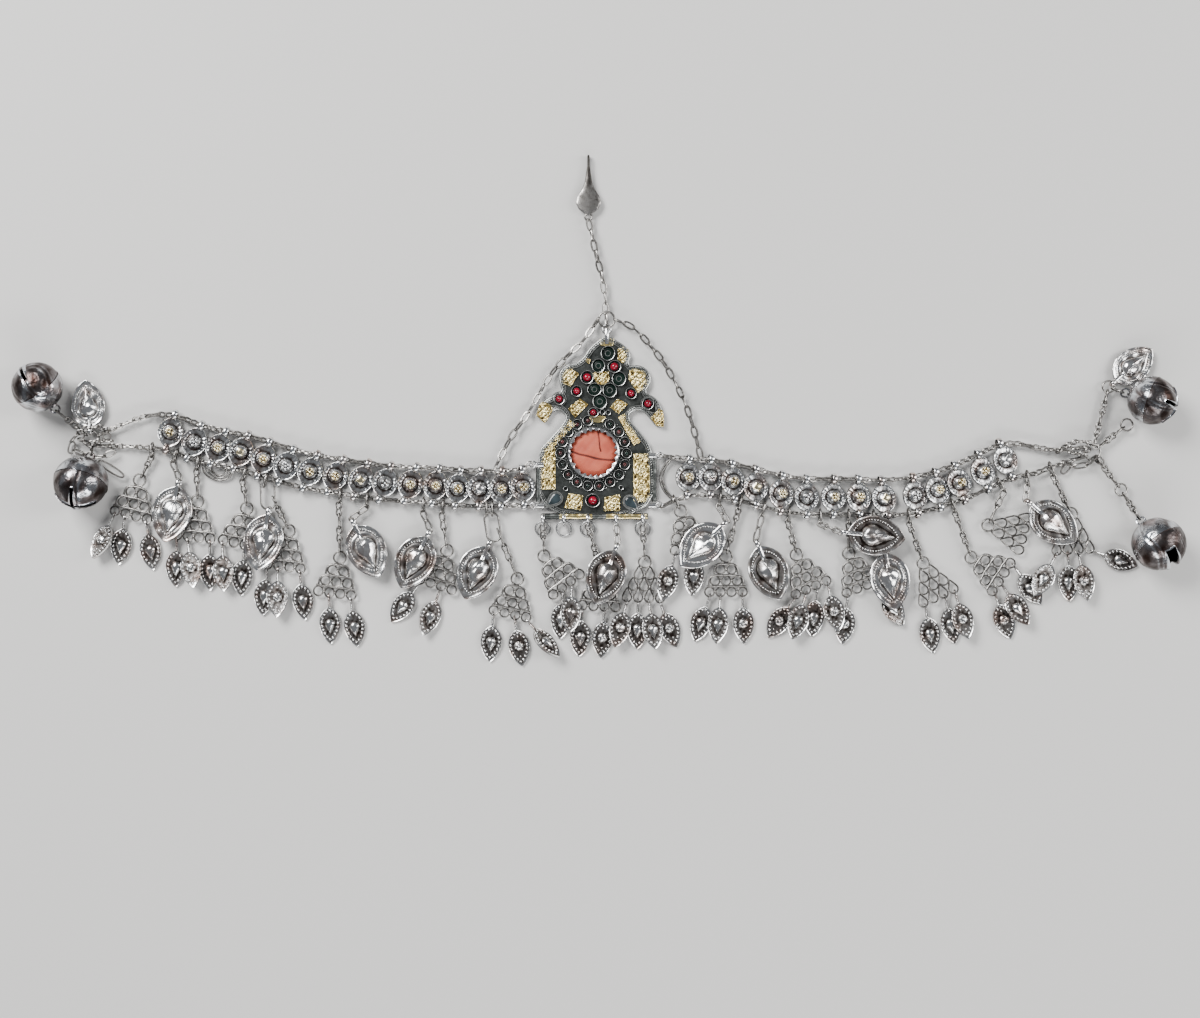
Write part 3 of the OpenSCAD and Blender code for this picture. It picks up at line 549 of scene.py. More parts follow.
def strip_sheet(length, width, seed):
    """A long sheet with a row of stamped flowers inside a rim; the same rows from outline to
    middle, on a rectangle whose middle is a line."""
    part = np.linspace(-1, 1, side_points, endpoint=False)
    u = np.concatenate([part, 1 + 0 * part, -part, -1 + 0 * part])
    v = np.roll(u, side_points)
    q = np.linspace(1, 0, rows_inward)[:, None]
    x = u * (length - width) / 2 + q * u * width / 2
    y = q * v * width / 2
    size = width / 2 * (0.72 if width > 4 else 1)
    high = flowers(x, y, size * 2.5, size) + 0.7 * hump(q, 0.94, 0.05)
    return closed_sheet(x, y, np.clip(high, 0, 1), seed)


gilt_parts = [cut_sheet(corners, stamped, k) for k, (corners, stamped) in enumerate(gilt_sheets)]
gilt_parts += [placed(strip_sheet(length, width, k), turned(z=turn), (x, y, plate_top))
               for k, (x, y, length, width, turn) in enumerate(gilt_strips)]
made_piece("crest_gilt_sheets", joined(gilt_parts), gilt, "crest", 60)

# Two half tubes of gilt sheet are bent over the foot rod, smooth and a little crushed. They hold
# by their own spring.
tube_parts = []
for start, length in [(-12, 11.5), (4.5, 14.5)]:
    along = np.linspace(0, length, 60)[:, None]
    bend = np.radians(np.linspace(55, 125, 12))
    reach = 1.4 + 0.05 * np.sin(along * 1.1 + 2 * bend) + 0.03 * np.sin(along * 2.7)
    outer, inner = [np.stack([start + along + 0 * r, rod_y - r * np.cos(bend), rod_z + r * np.sin(bend)], -1)
                    for r in (reach, 1.3 + 0 * reach)]
    # The outer face is painted lighter where it swells, as a painted highlight, and darker where it sinks;
    # the inner face, turned to the rod, is painted dark, as shade.
    shade = np.concatenate([0.75 + 2.5 * (reach - 1.4), 0 * reach + 0.2], 1)
    tube_parts.append(capped(np.concatenate([outer, inner[:, ::-1]], 1), shade))
made_piece("gilt_half_tubes", joined(tube_parts), gilt, "gilt_tubes")

# The big stone is a round of natural coral, matte and salmon pink, rubbed nearly flat. One old
# crack runs right across it, and another comes down to it from the top.
coral = finish("coral_pink", {"Roughness": 0.58, "Subsurface Weight": 0.08,
                              "Subsurface Radius": (0.001, 0.0004, 0.0003)})
coral_cloud = noise(coral, 260, 6)
coral_worn = output(coral, "Attribute", {}, "Fac", attribute_name="worn")
# The coral's colour follows noise and the wear and painted shade set on its points.
coral_mix = output(coral, "Math", {0: coral_cloud, 1: 0.5, 2: coral_worn}, operation="MULTIPLY_ADD")
coral_colour = ramp(coral, coral_mix, [(0.2, (0.1, 0.018, 0.012)), (0.55, (0.46, 0.08, 0.045)),
                                       (0.95, (0.64, 0.145, 0.08))])
coral_bump = output(coral, "Bump", {"Height": coral_cloud, "Strength": 0.6, "Distance": 0.00015})
feed(coral, {"Base Color": coral_colour, "Normal": coral_bump})


def near_line(x, y, bends):
    """Distance of each point from a line of straight parts: the least of the distances from
    the parts, each to its nearest point p + h (q - p), with h held between 0 and 1."""
    least = np.full(x.shape, 1e9)
    for (px, py), (qx, qy) in zip(bends[:-1], bends[1:]):
        h = ((x - px) * (qx - px) + (y - py) * (qy - py)) / ((qx - px) ** 2 + (qy - py) ** 2)
        h = np.clip(h, 0, 1)
        least = np.minimum(least, np.hypot(x - px - h * (qx - px), y - py - h * (qy - py)))
    return least


coral_r, coral_sides = 8.4, 220
q = np.linspace(1, 0, 90)[:, None]
x, y = [q * column for column in circle_path(coral_r, coral_sides).T[:2]]
dome = 0.9 + 1.35 * (1 - q ** 3) ** 0.6
hollows = 0.1 * np.sin(0.7 * x + 1.3) * np.sin(0.9 * y) + 0.02 * np.sin(2.3 * x - 1.7 * y)
long_crack = near_line(x, y, [(-8, 0.6), (-5, -0.5), (-2, -1.1), (1, -2), (3, -2.3), (7.6, -2.7)])
short_crack = near_line(x, y, [(1.7, 7.4), (2.1, 4), (2.2, 2), (2.6, 0.6)])
groove = hump(np.minimum(long_crack, 1.4 * short_crack), 0, 0.3)
coral_top = np.stack([x, y, dome + hollows - 0.45 * groove], -1)
coral_foot = coral_top[:1] * (1, 1, 0)
# The cracks are darker and the swellings lighter, and the rim under the bezel's teeth is painted darker, as
# shade.
coral_shade = np.concatenate([np.full((2, coral_sides), 0.1),
                              0.5 - 0.8 * groove + 0.9 * hollows - 0.3 * q ** 8])
coral_round = skin(np.concatenate([0 * coral_foot, coral_foot, coral_top]), coral_shade)
made_piece("coral_round", moved(coral_round, (0, 0, plate_top + 0.1)), coral, "coral_stone")


# The small stones are polished glass, rounded on top and flat below: crimson ones that sit loose
# in eight collets, nearly black green ones in the others, and dull red and green crumbs in the
# small rings. The cells at the foot hold blue-grey glass.
def glass(name, colour, rough, scale):
    """Deep glossy glass; cloudy noise lets its colour go from dark to full."""
    material = finish(name, {"Roughness": rough, "IOR": 1.52, "Coat Weight": 0.5, "Coat Roughness": 0.05})
    stops = [(0.3, [0.3 * c for c in colour]), (0.7, colour)]
    feed(material, {"Base Color": ramp(material, noise(material, scale), stops)})
    return material


def cabochon(radius, height):
    """A rounded stone on a flat back: z = height (1 - 0.65 q^2.5) over the radius q."""
    top = [(radius * q, height * (1 - 0.65 * q ** 2.5)) for q in np.linspace(1, 0, 9)]
    return lathe([(0, 0), (radius, 0)] + top, 24, 0.8)


red_parts = [moved(cabochon(0.58 * r, 1.6), (x, y, plate_top + 0.1)) for x, y, r, red in collets if red]
green_parts = [moved(cabochon(r - 0.35, 0.55), (x, y, plate_top + 0.02))
               for x, y, r, red in collets if not red]
green_parts.append(copies(cabochon(0.75, 0.5), small_at[::3]))
brown_parts = [copies(cabochon(0.75, 0.55), small_at[k::3]) for k in (1, 2)]
cell_rows = [(0, 0), (1, 0), (1, 0.3), (0.8, 0.5), (0.4, 0.6), (0, 0.65)]
cell_stone = skin(np.stack([drop_path(1.8 * q, 4.1 * q, z) for q, z in cell_rows]), 0.8)
cell_parts = [placed(cell_stone, turned(z=turn), (x, y, plate_top)) for x, y, turn in cells]
made_piece("red_glass_stones", joined(red_parts),
           glass("crimson_glass", (0.42, 0.008, 0.035), 0.12, 300), "red_stones")
for name, parts, colour, rough, scale in [
        ("green", green_parts, (0.006, 0.022, 0.015), 0.16, 260),
        ("brown", brown_parts, (0.13, 0.022, 0.022), 0.3, 400),
        ("blue", cell_parts, (0.045, 0.065, 0.075), 0.16, 350)]:
    made_piece(name + "_glass_stones", joined(parts), glass(name + "_glass", colour, rough, scale), "crest")

# The chains are made of links of drawn silver wire, each put through the next at a quarter turn.
# Those of the crest and the hook are plain ovals; the band's are pinched at the waist, where a
# small knot of the same wire holds both sides together.
wire_silver = metal("silver_wire", (0.012, 0.01, 0.008), (0.085, 0.079, 0.073), (0.52, 0.5, 0.475),
                    0.5, 0.27, 500, 2500)
plaques_left = np.array([  # x, y, lean
    [-150, 7.5, 15], [-141.5, 4, 24], [-133, 2, 26], [-125, 0.5, 24],
    [-117, -2, 20], [-109, -4.5, 24], [-100.5, -6.5, 24], [-91.5, -8, 26],
    [-82.5, -9.5, 24], [-74, -10.5, 20], [-65, -11, 20], [-56, -11.5, 12],
    [-48.2, -12.5, 10], [-40.4, -12.5, 4], [-32.7, -12.7, 2], [-25, -12, -3]])
plaques_right = np.array([
    [33.5, -8.5, 4], [41.5, -8.5, 2], [49.5, -10, -4], [57.5, -12, 0],
    [66.5, -14.3, 4], [75.5, -15.5, 0], [85, -15.5, 2], [94, -15.5, -2],
    [103, -16, -10], [114, -15, -8], [122, -13, -8], [129.7, -10.5, -16],
    [138, -6.5, -16], [146, -2.5, -20]])
bail_y = 6.3


def bails(plaques, side):
    """Middles of the plaques' upper or lower bails: middle + side bail_y (sin lean, cos lean)."""
    lean = np.radians(plaques[:, 2])
    return plaques[:, :2] + side * bail_y * np.stack([np.sin(lean), np.cos(lean)], 1)


band_routes = {
    "upper_chain_left": [(-174.6, 6.8), (-165, 11), (-157, 13.8), *bails(plaques_left, 1), (-23.1, -4.2)],
    "lower_chain_left": [(-174.8, 2.6), (-166, 2.5), (-158.5, 2), *bails(plaques_left, -1), (-23.1, -18.7)],
    "upper_chain_right": [(25.1, -1), *bails(plaques_right, 1), (151, 3.5), (158, 1.5), (165, 1), (173, 2)],
    "lower_chain_right": [(25.1, -18.5), *bails(plaques_right, -1), (155, -8), (162, -5), (168, -3.2),
                          (173.4, -1.4)]}
crest_routes = {
    "crest_chain_left": [(1.6, 47.4), (-3.5, 39.5), (-10.5, 33.5), (-16, 27), (-20, 19.5), (-24.5, 12),
                         (-29, 6.5), (-34.5, -4.4)],
    "crest_chain_right": [(8, 47.2), (14, 45), (19, 39.5), (24, 33.5), (28, 27), (31.5, 20), (34.5, 12.5),
                          (37.85, -0.72)],
    "hook_chain": [(4.6, 46), (4.2, 55), (3.3, 62), (1.2, 69), (-0.3, 76), (-1.6, 81.8)]}


def oval_link(half_l, half_w, thick, pinch, count=24, sides=6):
    """A closed oval of wire, x = l cos a and y = w sin a a little squared, drawn in at its waist."""
    cos, sin = [np.sign(way) * np.abs(way) ** 0.85 for way in (np.cos(around(count)), np.sin(around(count)))]
    waist = 1 - pinch * np.clip(1 - (cos / 0.62) ** 2, 0, 1) ** 2
    return wire(np.stack([half_l * cos, half_w * sin * waist, 0 * cos], 1), thick, sides, True)


def knot(half_l, half_w, thick):
    """A small knot round a link's waist: a barrel, wide across both wires."""
    tall = np.linspace(-1, 1, 5)
    profile = np.stack([np.sqrt(1 - 0.8 * tall ** 2), half_l * tall], 1)
    return placed(lathe(profile, 7, [0.3, 0.8, 0.6, 0.8, 0.3]),
                  np.diag([1, half_w + thick, 1.6 * thick]) @ turned(y=90))


def chain_of_links(route, pitch, thick, half_w, roll, pinch, z):
    """Links along a route: n even steps, each link pointing along its step, rolled one way and
    the other in turn, and long enough to go through its neighbours."""
    line = even_walk(route, 0.2)
    steps = max(round(0.2 * len(line) / pitch), 1)
    marks = picked(np.linspace(0, len(line) - 1, steps + 1), np.arange(len(line)), line)
    marks = np.concatenate([marks, np.full((steps + 1, 1), z)], 1)
    step = np.diff(marks, axis=0)
    along = unit(step)
    side = np.stack([-along[:, 1], along[:, 0], 0 * along[:, 0]], 1)
    turn_back = np.where(np.arange(steps) % 2, roll, roll - 90)
    angle = np.radians(turn_back + 9 * np.sin(np.arange(steps) * 2.3))[:, None]
    across = side * np.cos(angle) + np.array([0, 0, 1]) * np.sin(angle)
    link = oval_link(np.linalg.norm(step, axis=1).mean() / 2 + 0.6 * thick, half_w, thick, pinch)
    if pinch:
        link = joined([link, knot(0.42, half_w * (1 - pinch), thick)])
    return copies(link, (marks[:-1] + marks[1:]) / 2, np.stack([along, across, np.cross(along, across)], -1))


def reaching(route, first, last):
    """The route with its two ends moved outwards along their own way, into the rings they hang in."""
    longer = np.array(route, float)
    longer[0] += first * unit(longer[0] - longer[1])
    longer[-1] += last * unit(longer[-1] - longer[-2])
    return longer


band_pitch, crest_pitch = 4.7, 3.75
for name, route in band_routes.items():
    links = chain_of_links(reaching(route, 1.3, 1.3), band_pitch, 0.41, 0.95, 28, 0.5, chain_z)
    made_piece(name + "_links", links, wire_silver, name)
for name, route in crest_routes.items():
    links = chain_of_links(reaching(route, 0.6, 1.0), crest_pitch, 0.37, 0.95, 16, 0, chain_z)
    if name == "hook_chain":
        gathering = placed(hoop(2.8, 0.36, 36), turned(x=4), (4.7, 47.3, chain_z + 0.3))
        links = joined([links, gathering])
    made_piece(name + "_links", links, wire_silver, name)

# The hair hook is cut from sheet, a flat teardrop with a rolled eye below, and drawn out above
# into a thin wire that is bent back into a hook. Its sheet is painted darker towards the wire,
# and the wire dark, as painted shade where the end slopes away.
hook_outline = np.array([[0, 84.2], [0.9, 84.4], [3.4, 86.4], [4.5, 88.6], [3.9, 91], [2.3, 93.6],
                         [1.35, 96], [0.85, 99], [0.5, 101.5]])
hook_half, hook_y = picked(np.linspace(0, 8, 40), np.arange(9), hook_outline).T[..., None]
hook_round = around(20)
hook_sheet = np.stack([hook_half * np.cos(hook_round), hook_y + 0 * hook_round,
                       0 * hook_y + 0.4 * np.sin(hook_round)], -1)
bend = np.radians(np.linspace(90, -90, 14))
hook_bend = np.stack([0 * bend, 104.6 + 0.9 * np.cos(bend), -0.9 + 0.9 * np.sin(bend)], 1)
hook_line = np.concatenate([[[0, 100.5, 0], [0, 102.5, 0]], hook_bend, [[0, 102, -1.8], [0, 98.6, -1.8]]])
# The sheet is painted darker towards its tail and the wire dark, as shade where they slope away.
hook_parts = [capped(hook_sheet, np.interp(hook_sheet[..., 1], [84, 95, 101], [0.85, 0.6, 0.3])),
              wire(hook_line, 0.43, worn=0.35, up=(1, 0, 0)), moved(hoop(1.2, 0.36, 20), (0, 83.6, 0))]
made_piece("hair_hook_sheet", moved(joined(hook_parts), (-1.8, 0, 2.3)), wire_silver, "hair_hook")

# The plaques of the band are pointed ovals of sheet silver, pressed up into a smooth dome from
# behind, with short strokes punched beside it. A flat strap is soldered at each point as a bail,
# and a flower of granules on top of the dome; most flowers are gilt.
plaque_silver = metal("silver_plaque", (0.03, 0.02, 0.017), (0.25, 0.25, 0.25), (0.9, 0.91, 0.91),
                      0.5, 0.2, 380, 2000, (0.74, 0.6, 0.54))
pale_gilt = metal("pale_gilt", (0.05, 0.04, 0.025), (0.55, 0.45, 0.26), (1.0, 0.9, 0.64),
                  0.45, 0.2, 700, 2600)


def dents(x, y, seed):
    """Shallow dents: three slow waves that cross, shifted for each piece."""
    return (np.sin(0.9 * x + 1.7 * y + seed) + np.sin(1.9 * x - 0.8 * y + 2.1 * seed)
            + np.sin(0.7 * x - 2.3 * y + 3.7 * seed)) / 3


def pointed_path(width, length, count):
    """Outline of a pointed oval, where two arcs cross: the edge's distance from the middle is
    d.c + sqrt((d.c)^2 - c.c + r^2) in each direction d, for the arc's middle c and radius r."""
    radius = (length ** 2 + width ** 2) / (4 * width)
    centre = width / 2 - radius
    reach = np.abs(np.cos(around(count))) * centre
    return circle_path(reach + np.sqrt(reach ** 2 - centre ** 2 + radius ** 2), count)


def bossed_grid(width, length, shoulder, middle, r, tip, sides, inner, outer):
    """Rows of points that go from a boss's middle out to its outline, t from 0 to 1, and on from
    there to the edge of a pointed oval, u from 0 to 1. The oval's widest part is moved up by
    shoulder (1 - (2 y / length)^2). The boss is a drop with its point down: r away from its
    middle, and r / cos(b - a) where the angle a from the point's way is less than b."""
    edge_x, edge_y, _ = pointed_path(width, length, sides).T
    edge_y = edge_y + shoulder * (1 - (2 * edge_y / length) ** 2) - middle
    off_point = np.abs(np.arctan2(edge_x, -edge_y))
    boss = r / np.cos(np.clip(math.acos(r / tip) - off_point, 0, None)) / np.hypot(edge_x, edge_y)
    t = np.concatenate([inner, np.ones(len(outer))])[:, None] + 0 * boss
    u = np.concatenate([np.zeros(len(inner)), outer])[:, None] + 0 * boss
    size = t * boss + u * (1 - boss)
    return size * edge_x, size * edge_y + middle, t, u


def pressed_sheet(x, y, top, thick, worn):
    """A closed sheet: the pressed face above, and below it the same face one thickness lower,
    on every third row; the rows run from the middle out and back to the middle."""
    face = np.stack([x, y, top], -1)
    under = face[::-3] - (0, 0, thick)
    points = np.concatenate([face, under, under[-1:] * 0 + under[-1].mean(0)])
    shade = np.concatenate([worn, np.full((len(points) - len(face), x.shape[1]), 0.25)])
    points[0] = points[0].mean(0)
    return skin(points, shade)


def edge_beads(width, length, shoulder, inset_by, step, radius, z):
    """Beads in even steps along a shouldered pointed oval drawn inset_by inside the edge."""
    loop = pointed_path(width - 2 * inset_by, length - 3 * inset_by, 240)
    loop[:, 1] += shoulder * (1 - (2 * loop[:, 1] / length) ** 2)
    return beads(spread(loop + (0, 0, z), True, step), radius, 7)


def plaque_face(seed):
    """A dome z = h (1 - t^2.4)^0.6 with dents, strokes that swell with cos(18 a) beside it, and a
    thin raised rim; the points of the oval are drawn in by (2 y / length)^4."""
    x, y, t, u = bossed_grid(8.8, 11.6, 0, 0, 2.65, 2.651, 90, [0, 0.25, 0.48, 0.66, 0.8, 0.91, 0.97, 1],
                             [0.12, 0.3, 0.5, 0.7, 0.86, 0.95, 1, 1.0])
    x = x * (1 - 0.3 * (y / 5.7) ** 4)
    turn = np.arctan2(y, x)
    beside = np.clip(1.5 * np.abs(np.cos(turn)) - 0.4, 0, 1)
    stroke = hump(u, 0.5, 0.26) * np.clip(np.cos(18 * turn), 0, 1) * beside
    rim = hump(u, 0.93, 0.07)
    groove = hump(u, 0.06, 0.1) * (t > 0.95)
    dome = np.clip(1 - t ** 2.4, 0, 1) ** 0.6
    dent = dents(x, y, seed)
    top = 2.4 * dome + 0.34 * stroke + 0.2 * rim + 0.12 * dome * dent - 0.1 * groove + 0.06 * dent
    top[-1] = -0.35
    # A painted shadow darkens the dome's lower right, and the groove round the dome's foot is painted dark,
    # as shade; the strokes and rim are lighter.
    shadow = 0.3 * np.exp(-((x - 0.7) ** 2 + (y + 1.8) ** 2) / 1.7)
    worn = (0.66 + 0.16 * dome + 0.5 * stroke - 0.4 * groove + 0.4 * rim - shadow
            + 0.25 * dents(2 * x, y, seed))
    worn[-1] = 0.4
    return pressed_sheet(x, y, top, 0.35, worn)


def flower_of_granules(seed, square):
    """Granules round another one on a little plate on top of the dome; one in five is a square
    plate with its corners bent down."""
    if square:
        return placed(lathe([(0, 2.3), (1.7, 2.3), (1.75, 2.6), (1.2, 2.92), (0, 3.02)], 4,
                            [0.2, 0.4, 0.9, 0.7, 0.95]), turned(z=15 * seed))
    many = 4 + seed % 3
    angle = around(many) + seed
    ring = np.stack([1.12 * np.cos(angle), 1.12 * np.sin(angle), 2.56 + 0.08 * np.sin(2 * angle)], 1)
    plate = lathe([(0, 2.2), (1.45, 2.2), (1.5, 2.4), (1.0, 2.6), (0, 2.65)], 12, [0.2, 0.2, 0.5, 0.2, 0.2])
    return joined([plate, beads(ring, 0.64, 8), beads([(0, 0, 2.85)], 0.56, 8)])


def flat_bail(radius, width, thick):
    """A strap bent into a ring that stands on edge."""
    return standing(radius, thick, 22, flat=width / (2 * thick), worn=0.95)


plaque_bails = joined([moved(flat_bail(1.8, 1.6, 0.2), (0, y, 0)) for y in (-bail_y, bail_y)])
for name, rows, first in [("plaques_left", plaques_left, 0), ("plaques_right", plaques_right, 40)]:
    silver_parts, gilt_flowers = [], []
    for k, (x, y, lean) in enumerate(rows):
        turn = turned(y=9, z=-lean)
        silver_parts.append(placed(joined([plaque_face(first + k), plaque_bails]), turn, (x, y, chain_z)))
        flower = placed(flower_of_granules(first + k, k % 5 == 3), turn, (x, y, chain_z))
        (silver_parts if k % 4 == 1 else gilt_flowers).append(flower)
    made_piece(name + "_sheets", joined(silver_parts), plaque_silver, name)
    made_piece(name + "_rosettes", joined(gilt_flowers), pale_gilt, name)


# Rings and oval links of wire hook the drops and the bells to the chains. Each solid of the
# construction's link groups is measured, and round wire is bent to the same oval in its place.
# Short spare chains and loose links lie tangled over the two end rings.
def solids_of(name):
    """Splits a node into its loose solids. Points at one place count as one; each point then takes
    the lowest number found in its triangles, again and again, until none changes."""
    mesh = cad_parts[name].data
    places = np.empty(len(mesh.vertices) * 3, np.float32)
    mesh.vertices.foreach_get("co", places)
    corners = np.empty(len(mesh.loops), np.int32)
    mesh.loops.foreach_get("vertex_index", corners)
    rounded, index = np.unique(np.round(places.reshape(-1, 3) * 1e6), axis=0, return_inverse=True)
    triangles = index.ravel()[corners].reshape(-1, 3)
    label = np.arange(len(rounded))
    while True:
        least = label.copy()
        np.minimum.at(least, triangles, label[triangles].min(1)[:, None])
        least = least[least]
        if (least == label).all():
            break
        label = least
    return [rounded[label == k] * 1e-3 for k in np.unique(label)]


def measured(points):
    """Middle, axes from longest to shortest and half sizes of a solid: the axes are the
    directions in which its points spread most and least."""
    middle = (points.min(0) + points.max(0)) / 2
    axes = np.linalg.eigh(np.cov((points - points.mean(0)).T))[1][:, ::-1]
    axes[:, 2] = np.cross(axes[:, 0], axes[:, 1])
    spread_out = (points - middle) @ axes
    low, high = spread_out.min(0), spread_out.max(0)
    return middle + axes @ ((high + low) / 2), axes, (high - low) / 2


tangles = {
    "links_left": [([(-185, 4), (-181, 8.4), (-176.5, 10), (-171.5, 8)], 0.6, 3.4),
                   ([(-184, 1), (-179, -1.2), (-174, -1.8), (-169.5, 0.6)], 0, 3.2),
                   ([(-182, 5), (-178.5, 2.8), (-174, 4.6), (-170, 4.2)], 0.6, 3.8)],
    "links_right": [([(164, 0.2), (168.5, 3.8), (174, 4.6), (178.5, 2)], 0.6, 3.2),
                    ([(166, -3), (171, -5.4), (175.5, -4), (178, -1)], 0, 3.2),
                    ([(168, 0.5), (171.5, -1), (175.5, 1.4)], 0.6, 3.8)]}
loose_links = {
    "links_left": [(-185.2, 2.0, 1.6, 75, 2.1), (-171, -5.6, 2.2, -32, 5.2), (-172.2, 5.8, 3.6, 20, 1.3)],
    "links_right": [(167.6, -5.4, 1.6, 50, 2.2), (179.4, -2.4, 1.6, -40, 2.0)]}
bent_wires = {
    "links_left": [
        [(-138.8 + k, -3.3, 2.2), (-138.3 + k, -7.6 + 0.8 * k, 1.3), (-133.5, -9.9 + 0.9 * k, 1.1),
         (-129.2 - 0.8 * k, -9 + 0.8 * k, 1.3), (-128 - k, -5.6, 2.2)] for k in (0, 1, 2)],
    "links_right": [
        [(27.6 + k, -1.2, 2.2), (25.4 + k, -3.9, 1.5), (23.9 + k, -6.5, 1.2), (23.5 + k, -9.5, 1.0),
         (24.6 + k, -13, 1.2), (27 + k, -15.8, 1.6), (29.4, -16.8, 2.2)] for k in (0, 0.85)]}
link_thick = 0.35
for name in ("links_left", "links_right"):
    link_parts = []
    for solid in solids_of(name):
        middle, axes, half = measured(solid)
        half_l, half_w = half[0] - link_thick, half[1] - link_thick
        if half_l < 1.15 * half_w or half_w > 1.5:
            loop = circle_path(half_w, 28)
            loop[:, 0] += (half_l - half_w) * np.sign(loop[:, 0])
            shape = wire(loop, link_thick, 8, True)
        else:
            shape = oval_link(half_l, half_w, link_thick, 0.4, 28, 8)
            if half_l > 2:
                shape = joined([shape, knot(0.55, 0.6 * half_w, link_thick)])
        link_parts.append(placed(shape, axes, middle))
    link_parts += [chain_of_links(route, 4.3, 0.34, 1.05, 30, pinch, z) for route, pinch, z in tangles[name]]
    link_parts += [placed(oval_link(size, 1.1, 0.34, 0), turned(z=turn), (x, y, z))
                   for x, y, z, turn, size in loose_links[name]]
    link_parts += [wire(even_walk(path, 0.6), 0.36) for path in bent_wires[name]]
    made_piece(name + "_wire", joined(link_parts), wire_silver, name)

# The ladders are rows of small rings between bars, all of silver wire soldered together, one
# ring wider in each row. The ends of the upper bars are bent down round the outer rings to the
# next bar. Four of the ladders have pointed loops and no bars.
ladders = [  # x and y of the top ring, turn, pointed loops
    (-161, -9.5, -14, 0), (-140.5, -17, -6, 0), (-123, -19.5, -12, 0), (-108, -27.5, -8, 0),
    (-90, -37, -8, 0), (-52, -34.5, -18, 0), (-27, -44.5, -12, 0), (-17.5, -36.5, 38, 0),
    (2.6, -41.5, -3, 0), (18.2, -38.5, -2, 1), (30, -26, 16, 0), (47, -36.5, 0, 0),
    (72, -36, 24, 0), (90.5, -35.5, 22, 0), (117, -39, 25, 1), (134, -37, 57, 0),
    (140, -25.5, 76, 1), (169.5, -21.5, 3, 1)]
ladder_z = 1.75
ring_r, top_r, row_step = 2.0, 2.5, 4.0
ladder_rows = 3


def ring_at(k, i, z=0.0):
    """Middle of ring i in row k, below the top ring's middle."""
    return [(i - (k + 1) / 2) * (2 * ring_r - 0.1), -(top_r + 0.2 + row_step * (k + 0.5)), z]


def bar(k, seed):
    """The wire above row k, a little crooked: straight across, and for the upper two rows bent
    down at both ends beside the outer rings, as far as the next bar."""
    half = (k + 2) * 1.95 + 0.05
    line = [(-half + 0.9, 2.0), (half - 0.9, 2.0)]
    if k < 2:
        line = [(-half - 0.2, -1.7), (-half - 0.15, 0.4)] + line + [(half + 0.15, 0.4), (half + 0.2, -1.7)]
    x, y = even_walk(line, 0.62).T
    path = np.stack([x, y + ring_at(k, 0)[1] + 0.07 * np.sin(1.3 * x + seed), 0.3 + 0 * x], 1)
    return wire(path, 0.39, flat=0.85, worn=0.8)


def ladder_net(pointed, seed):
    """Top ring, then rows of two, three and four rings; small balls of solder fill the corners.
    Each ring is a little out of true."""
    ring = circle_path(1.68, 24)
    if pointed:
        rise = np.clip(np.sin(around(24)), 0, 1) ** 3
        ring = np.stack([1.6 * np.cos(around(24)) * (1 - 0.45 * rise), 1.65 * np.sin(around(24)) + 1.5 * rise,
                         0 * rise], 1)
    places = [ring_at(k, i, 0.05 * math.sin(seed + 3 * i + k))
              for k in range(ladder_rows) for i in range(k + 2)]
    tilts = [turned(x=3 * math.sin(seed + 2 * k), y=3 * math.cos(1.3 * seed + 5 * k))
             @ np.diag([1, 1 + 0.05 * math.sin(seed + 7 * k), 1]) for k in range(len(places))]
    corners = [np.add(ring_at(k, i), (1.95, 0, 0)) for k in range(ladder_rows) for i in range(k + 1)]
    corners += [(-1.3, -2.1, 0.05), (1.3, -2.1, 0.05)]
    bars = [] if pointed else [bar(k, seed) for k in range(ladder_rows)]
    rings = copies(wire(ring, 0.3, 7, True, worn=0.62), places, tilts)
    return joined([hoop(2.15, 0.33, 30, worn=0.68), rings] + bars + [beads(corners, 0.4, 7)])


hooked_ladder, hooked_reach, hooked_roll = 10, 4.35, 8
start, after = np.array(band_routes["lower_chain_right"][:2], float)
step = after - start
below_chain = (start + after) / 2 + hooked_reach * unit(np.array([step[1], -step[0]]))
ladder_turns, ladder_places = [], []
for k, (x, y, turn, pointed) in enumerate(ladders):
    hooked = k == hooked_ladder
    place = (*below_chain, chain_z) if hooked else (x, y, ladder_z)
    ladder_places.append(np.array(place))
    ladder_turns.append(turned(z=turn) @ turned(y=hooked_roll if hooked else 0))
    net = placed(ladder_net(pointed, k + 1.0), ladder_turns[-1], place)
    made_piece(f"ladder_{k + 1}_net", net, wire_silver, f"ladder_{k + 1}")

